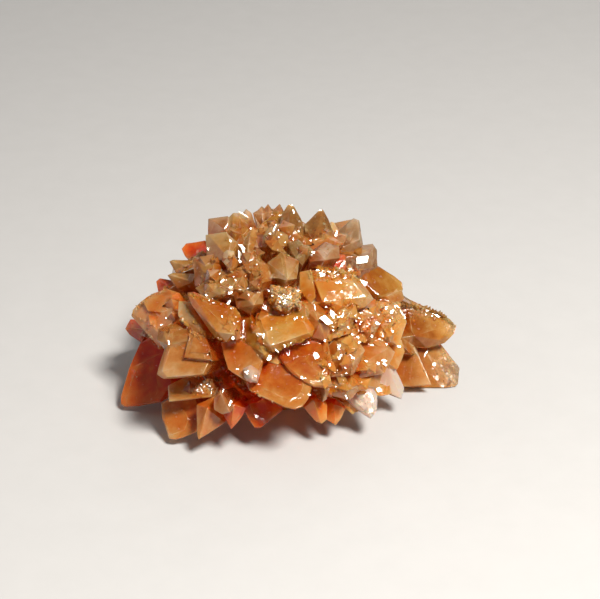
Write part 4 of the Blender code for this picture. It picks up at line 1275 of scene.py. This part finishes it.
class Shader:
    """A material's node tree."""

    def __init__(self, name):
        self.material = bpy.data.materials.new(name)
        self.material.use_nodes = True
        self.tree = self.material.node_tree
        self.surface = self.tree.nodes["Principled BSDF"]

    def add(self, kind, settings, values, output=0):
        """A new node of this kind: its settings first, then its inputs by place or by name."""
        node = self.tree.nodes.new(kind)
        for key, value in settings.items():
            setattr(node, key, value)
        named = values.items() if isinstance(values, dict) else enumerate(values)
        for key, value in named:
            self.feed(node.inputs[key], value)
        return Socket(self, node.outputs[output])

    def feed(self, place, value):
        """Link a socket or set a constant."""
        if isinstance(value, Socket):
            self.tree.links.new(value.output, place)
        else:
            place.default_value = value

    def set(self, **values):
        """Constants or sockets for inputs of the surface, by their names without spaces."""
        for place in self.surface.inputs:
            key = place.name.replace(" ", "_").lower()
            if key in values:
                self.feed(place, values[key])

    def place(self):
        """Where a point is in the object's own coordinates."""
        return self.add("ShaderNodeTexCoord", {}, {}, output="Object")

    def attribute(self, name, output):
        return self.add("ShaderNodeAttribute", {"attribute_name": name}, {}, output=output)

    def mix(self, share, a, b):
        """A colour between a and b."""
        return self.add("ShaderNodeMix", {"data_type": "RGBA"}, {0: share, 6: a, 7: b}, output=2)

    def noise(self, place, scale, detail):
        """Noise at this many features a metre."""
        values = {"Vector": place, "Scale": scale, "Detail": detail, "Roughness": 0.6}
        return self.add("ShaderNodeTexNoise", {}, values)

    def vector(self, operation, values):
        return self.add("ShaderNodeVectorMath", {"operation": operation}, values)

    def facets(self, normal, place, scale, tilt):
        """This normal, tilted at random in each cell of a pattern, as the faces of a mosaic are."""
        cell = self.add("ShaderNodeTexVoronoi", {}, {"Vector": place, "Scale": scale}, output="Color")
        centred = self.vector("SUBTRACT", [cell, (0.5, 0.5, 0.5)])
        tilted = self.vector("SCALE", {0: centred, "Scale": tilt})
        return self.vector("NORMALIZE", [self.vector("ADD", [normal, tilted])])


def calcite_material(name, look, frosting, clear=True):
    """Translucent calcite: cloudy inside, striated by growth, glassy where it isn't frosted."""
    shader = Shader(name)
    place = shader.place()
    tint = shader.attribute("tint", "Color")
    frost = shader.attribute("frost", "Fac")
    growth = shader.add("ShaderNodeUVMap", {"uv_map": "growth"}, {})

    cloud = shader.noise(place, CLOUD_SCALE, 4)
    veil = shader.noise(place, VEIL_SCALE, 3)
    grain = shader.noise(place, GRAIN_SCALE, 2)
    steps = shader.add("ShaderNodeTexWave", {"wave_profile": "SAW"},
                       {"Vector": growth, "Scale": STEP_SCALE, "Distortion": 3.0, "Detail Scale": 1.2})

    depth = (cloud - 0.5) * CLOUD_DEPTH + (veil - 0.5) * VEIL_DEPTH + 1.0
    body = shader.add("ShaderNodeGamma", {}, {"Color": tint, "Gamma": depth})
    frosted = (frost * frosting + cloud * FROST_CLOUD - FROST_CLOUD / 2).step(*FROST_EDGE)
    flecks = (veil - FLECKS_FROM).step(0.0, FLECKS_OVER) * FLECKS_SHARE
    milky = shader.mix(flecks, body, (*MILK_AND_HIGHLIGHT_COLOUR, 1.0))
    shader.set(base_color=shader.mix(frosted * FROST_MILK, milky, (*MILK_AND_HIGHLIGHT_COLOUR, 1.0)))
    rough = veil * VEIL_ROUGHNESS + frosted * FROST_ROUGHNESS + look.roughness - VEIL_ROUGHNESS / 2
    shader.set(roughness=rough.clamped())

    height = steps * STEP_RELIEF + veil * VEIL_RELIEF + grain * (frosted * FROST_RELIEF + GRAIN_RELIEF)
    relief = shader.add("ShaderNodeBump", {}, {"Height": height, "Strength": 0.25, "Distance": RELIEF})
    mosaic = shader.facets(relief, place, MOSAIC_SCALE, MOSAIC_TILT)
    flakes = shader.facets(mosaic, place, FLAKE_SCALE, frosted * FROST_TILT + FLAKE_TILT)
    shader.set(normal=flakes, metallic=0.0, ior=look.ior, transmission_weight=look.transmission,
               subsurface_weight=look.subsurface, subsurface_radius=RED_SCATTERS_FURTHEST,
               subsurface_scale=look.depth)
    if clear:
        inner = shader.tree.nodes.new("ShaderNodeVolumeAbsorption")
        inner.inputs["Color"].default_value = (*STONE_COLOUR, 1.0)
        inner.inputs["Density"].default_value = look.density
        out = shader.tree.nodes["Material Output"]
        shader.tree.links.new(inner.outputs["Volume"], out.inputs["Volume"])
    return shader.material


def floor_material():
    """Plain pale paper."""
    shader = Shader("studio_floor")
    fibre = shader.noise(shader.place(), FIBRE_SCALE, 3)
    shader.set(base_color=shader.mix(fibre, *PAPER_COLOURS), roughness=0.8)
    return shader.material


def setting(name, description, default, least, most, **kind):
    """A number in a panel."""
    return FloatProperty(name=name, description=description, default=default, min=least, max=most, **kind)


FACTOR = {"subtype": "FACTOR"}
LENGTH = {"subtype": "DISTANCE", "unit": "LENGTH", "precision": 5}
POWER = {"subtype": "POWER", "unit": "POWER"}


class CrystalSettings(bpy.types.PropertyGroup):
    """How the crystals' edges are finished."""

    rounding: setting("Rounding", "Radius of the crystals' edges", 0.18 * MM, 0.0, 1.0 * MM, **LENGTH)
    segments: IntProperty(name="Segments", description="Facets across a rounded edge", default=2,
                          min=1, max=4)


class LookSettings(bpy.types.PropertyGroup):
    """How the calcite takes the light."""

    roughness: setting("Roughness", "Roughness of a clean face", 0.12, 0.0, 1.0, **FACTOR)
    ior: setting("IOR", "Between calcite's two indices of refraction", 1.55, 1.0, 2.0)
    density: setting("Density", "How strongly the stone absorbs, per metre", 28.0, 0.0, 1000.0)
    transmission: setting("Transmission", "Share of the light that passes clear", 0.65, 0.0, 1.0, **FACTOR)
    subsurface: setting("Subsurface", "Share of the rest that scatters", 0.40, 0.0, 1.0, **FACTOR)
    depth: setting("Depth", "How deep red light scatters", 1.0 * MM, 0.1 * MM, 50 * MM, **LENGTH)


class StageSettings(bpy.types.PropertyGroup):
    """The studio."""

    floor_width: setting("Floor", "Width of the paper", 1.6, 0.2, 5.0, **LENGTH)
    key_power: setting("Key", "Power of the small bright light", 7.2, 0.0, 100.0, **POWER)
    fill_power: setting("Fill", "Power of the broad soft light", 1.1, 0.0, 100.0, **POWER)
    sky: FloatVectorProperty(name="Surround", description="Colour of the studio's walls",
                             default=(0.62, 0.62, 0.63), size=3, min=0.0, max=1.0, subtype="COLOR")


class CALCITE_OT_crystals(bpy.types.Operator):
    """Grow the cluster of rounded crystals that takes the solid's place."""

    bl_idname = "calcite.crystals"
    bl_label = "Crystals"

    def execute(self, context):
        settings = context.scene.calcite_crystals
        crystals = all_crystals()
        body = mesh_object("calcite_crystals", core_shape(CORE_DETAIL))
        parts = []
        for number, crystal in enumerate(crystals):
            radius, segments = settings.rounding, settings.segments
            if (crystal.points[0] - crystal.points[-1]).length < SMALL_CRYSTAL:
                radius, segments = radius * SMALL_ROUNDING, 1
            solid = rounded_crystal(crystal.points, radius, segments)
            parts.append(mesh_object(f"crystal_{number:03d}", solid))
        union_all(body, parts)
        shape = bmesh.new()
        shape.from_mesh(body.data)
        bmesh.ops.remove_doubles(shape, verts=shape.verts, dist=WELD)
        keep_outer_shell(shape)
        bmesh.ops.triangulate(shape, faces=shape.faces)
        refine(shape, FINEST_EDGE)
        roughen(shape)
        colour_crystals(shape, crystals)
        shape.to_mesh(body.data)
        shape.free()
        soften(body)
        body.data.materials.clear()
        body.data.materials.append(calcite_material("calcite", context.scene.calcite_look, frosting=1.0))
        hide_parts("calcite_cluster")
        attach(body, "root")
        return {"FINISHED"}


def colours_of(shape):
    """The tint of each face of a finished piece, at its first corner."""
    # the tints carry the painted shade of the gaps and the painted highlight of the rims
    layer = shape.loops.layers.float_color["tint"]
    return [tuple(face.loops[0][layer])[:3] for face in shape.faces]


def coloured_bmesh():
    """An empty bmesh with the layers that the calcite's material reads."""
    shape = bmesh.new()
    corner_layers(shape)
    return shape


def add_solid(shape, points, tint, frost):
    """Add a small convex crystal of one colour."""
    layers = corner_layers(shape)
    made = bmesh.ops.convex_hull(shape, input=[shape.verts.new(p) for p in points])
    for face in made["geom"]:
        if isinstance(face, bmesh.types.BMFace):
            for loop in face.loops:
                paint(loop, layers, tint, (loop.vert.co.x / MM, loop.vert.co.z / MM), frost)


def colour_below(points, surface, colours):
    """The colour of the face that a small crystal sits on."""
    _, _, index, _ = surface.find_nearest(points[-1])
    return colours[index]


class CALCITE_OT_druse(bpy.types.Operator):
    """Sprinkle the finest crystals over the display side, along serrated edges and where glints lie."""

    bl_idname = "calcite.druse"
    bl_label = "Fine druse"

    def execute(self, context):
        ground = bmesh.new()
        ground.from_mesh(bpy.data.objects["calcite_crystals"].data)
        surface = BVHTree.FromBMesh(ground)
        colours = colours_of(ground)
        ground.free()
        chance = random.Random(FINE_SEED)
        jobs = []
        for patch in FINE_DRUSE:
            jobs += [(oval_place(patch, step, chance), patch) for step in range(patch.count)]
        for edge in SERRATED:
            jobs += [(edge_place(edge, step, chance), edge) for step in range(edge.count)]
        grains = [druse_points(place, patch, surface, chance, ragged=True) for place, patch in jobs]
        for seat in back_seats(surface, chance):
            grains.append(seated_tooth(*seat, BACK_GRAIN, chance, ragged=False))
        for seat in bare_seats(surface):
            grains.append(seated_tooth(*seat, BARE_TOOTH, chance, ragged=False))
        solids = []
        for points in filter(None, grains):
            # the fine crystals take on the painted shade and painted highlight in the colour below them
            tint = deepened(colour_below(points, surface, colours), chance.uniform(*FINE_VARIETY))
            solids.append((points, tint, chance.choice(FINE_FROSTS)))
        for glint in broken(GLINTS, chance) + sparkles(chance):
            points = glint_points(glint, surface)
            if points:
                # painted highlight: the bright face's colour is also paled towards milk
                tint = mixed(colour_below(points, surface, colours), MILK_AND_HIGHLIGHT_COLOUR, GLINT_PAINTED_HIGHLIGHT)
                solids.append((points, tint, 0.0))
        shape = coloured_bmesh()
        batch = bpy.data.meshes.new("batch")
        for first in range(0, len(solids), BATCH):
            part = coloured_bmesh()
            for solid in solids[first : first + BATCH]:
                add_solid(part, *solid)
            loose = [v for v in part.verts if not v.link_faces]
            bmesh.ops.delete(part, geom=loose, context="VERTS")
            bmesh.ops.recalc_face_normals(part, faces=part.faces)
            part.to_mesh(batch)
            part.free()
            shape.from_mesh(batch)
        bpy.data.meshes.remove(batch)
        obj = mesh_object("fine_druse", shape)
        looks = calcite_material("fine_calcite", context.scene.calcite_look, FINE_FROSTING, clear=False)
        obj.data.materials.append(looks)
        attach(obj, "root")
        return {"FINISHED"}


def broken(glints, chance):
    """These bright faces, the middle-sized ones each broken into smaller ones that lie side by side."""
    found = []
    for column, row, wide, high, turn in glints:
        if BROKEN_SIZES[0] <= min(wide, high) < BROKEN_SIZES[1]:
            for _ in range(BROKEN_INTO):
                aside = wide * chance.uniform(-BROKEN_ASIDE, BROKEN_ASIDE)
                below = high * chance.uniform(-BROKEN_ASIDE, BROKEN_ASIDE)
                part = wide * chance.uniform(*BROKEN_SHARE), high * chance.uniform(*BROKEN_SHARE)
                turned = turn + chance.uniform(-BROKEN_TURN, BROKEN_TURN)
                found.append((column + aside, row + below, *part, turned))
        else:
            found.append((column, row, wide, high, turn))
    return found


def sparkles(chance):
    """More bright faces, the smallest, strewn among the finest crystals."""
    found = []
    for patch in FINE_DRUSE:
        for step in range(round(patch.count * SPARKLE_SHARE)):
            column, row = oval_place(patch, step, chance)
            wide, high = chance.uniform(*SPARKLE_WIDE), chance.uniform(*SPARKLE_HIGH)
            found.append((column, row, wide, high, chance.uniform(0, 180)))
    return found


def edge_place(edge, step, chance):
    """A place along a serrated edge, on the drawing grid."""
    runs = []
    for (x1, y1), (x2, y2) in zip(edge.places, edge.places[1:]):
        runs.append(((x1, y1), (x2, y2), math.hypot(x2 - x1, y2 - y1)))
    left = sum(r[2] for r in runs) * (step + chance.uniform(*EDGE_STRETCH)) / edge.count
    for (x1, y1), (x2, y2), length in runs:
        if left <= length:
            break
        left -= length
    t = min(1.0, left / length)
    column = x1 + (x2 - x1) * t + chance.uniform(-EDGE_ASIDE, EDGE_ASIDE)
    return column, y1 + (y2 - y1) * t + chance.uniform(-EDGE_ASIDE, EDGE_ASIDE)


def area_light(name, place, size, power, colour):
    """A square light that faces the specimen."""
    data = bpy.data.lights.new(name, "AREA")
    data.shape = "SQUARE"
    data.size = size
    data.energy = power
    data.color = colour
    light = bpy.data.objects.new(name, data)
    light.location = place
    light.rotation_mode = "QUATERNION"
    light.rotation_quaternion = (LIGHT_AIM - place).to_track_quat("-Z", "Y")
    bpy.context.scene.collection.objects.link(light)


class CALCITE_OT_stage(bpy.types.Operator):
    """Set the paper, the lights and the camera."""

    bl_idname = "calcite.stage"
    bl_label = "Stage"

    def execute(self, context):
        settings = context.scene.calcite_stage
        shape = bmesh.new()
        bmesh.ops.create_grid(shape, x_segments=1, y_segments=1, size=settings.floor_width / 2)
        floor = mesh_object("floor", shape)
        floor.data.materials.append(floor_material())

        area_light("key", KEY_PLACE, 0.14, settings.key_power, (1.0, 0.96, 0.90))
        area_light("fill", FILL_PLACE, 0.70, settings.fill_power, (1.0, 0.98, 0.95))
        area_light("back", BACK_PLACE, 0.50, settings.fill_power * BACK_SHARE, (1.0, 0.95, 0.88))

        world = bpy.data.worlds.new("studio")
        world.use_nodes = True
        surround = world.node_tree.nodes["Background"].inputs
        surround["Color"].default_value = (*settings.sky, 1.0)
        surround["Strength"].default_value = SKY_STRENGTH
        context.scene.world = world

        camera = bpy.data.objects.new("camera", bpy.data.cameras.new("camera"))
        camera.data.sensor_width = SENSOR_WIDTH
        camera.data.lens = SENSOR_WIDTH * EYE_DISTANCE / (PICTURE_COLUMNS * GRID)
        camera.data.clip_start = 0.01
        camera.location = EYE
        camera.rotation_euler = (math.pi / 2 - EYE_ELEVATION, 0, 0)
        context.scene.collection.objects.link(camera)
        context.scene.camera = camera
        context.scene.view_settings.view_transform = "Standard"
        return {"FINISHED"}


class CALCITE_PT_panel(bpy.types.Panel):
    """The specimen's steps and settings."""

    bl_idname = "CALCITE_PT_panel"
    bl_label = "Calcite specimen"
    bl_space_type = "VIEW_3D"
    bl_region_type = "UI"
    bl_category = "Calcite"

    def draw(self, context):
        layout = self.layout
        for operator in OPERATORS:
            layout.operator(operator.bl_idname)
        for name, group in SETTINGS.items():
            column = layout.column()
            values = getattr(context.scene, name)
            for field in group.__annotations__:
                column.prop(values, field)


SETTINGS = {
    "calcite_crystals": CrystalSettings,
    "calcite_look": LookSettings,
    "calcite_stage": StageSettings,
}
OPERATORS = (CALCITE_OT_crystals, CALCITE_OT_druse, CALCITE_OT_stage)


def register():
    for group in SETTINGS.values():
        bpy.utils.register_class(group)
    for operator in OPERATORS:
        bpy.utils.register_class(operator)
    bpy.utils.register_class(CALCITE_PT_panel)
    for name, group in SETTINGS.items():
        setattr(bpy.types.Scene, name, PointerProperty(type=group))


def unregister():
    for name in SETTINGS:
        delattr(bpy.types.Scene, name)
    bpy.utils.unregister_class(CALCITE_PT_panel)
    for operator in reversed(OPERATORS):
        bpy.utils.unregister_class(operator)
    for group in reversed(SETTINGS.values()):
        bpy.utils.unregister_class(group)


def main():
    register()
    bpy.ops.calcite.crystals()
    bpy.ops.calcite.druse()
    bpy.ops.calcite.stage()


if __name__ == "__main__":
    main()
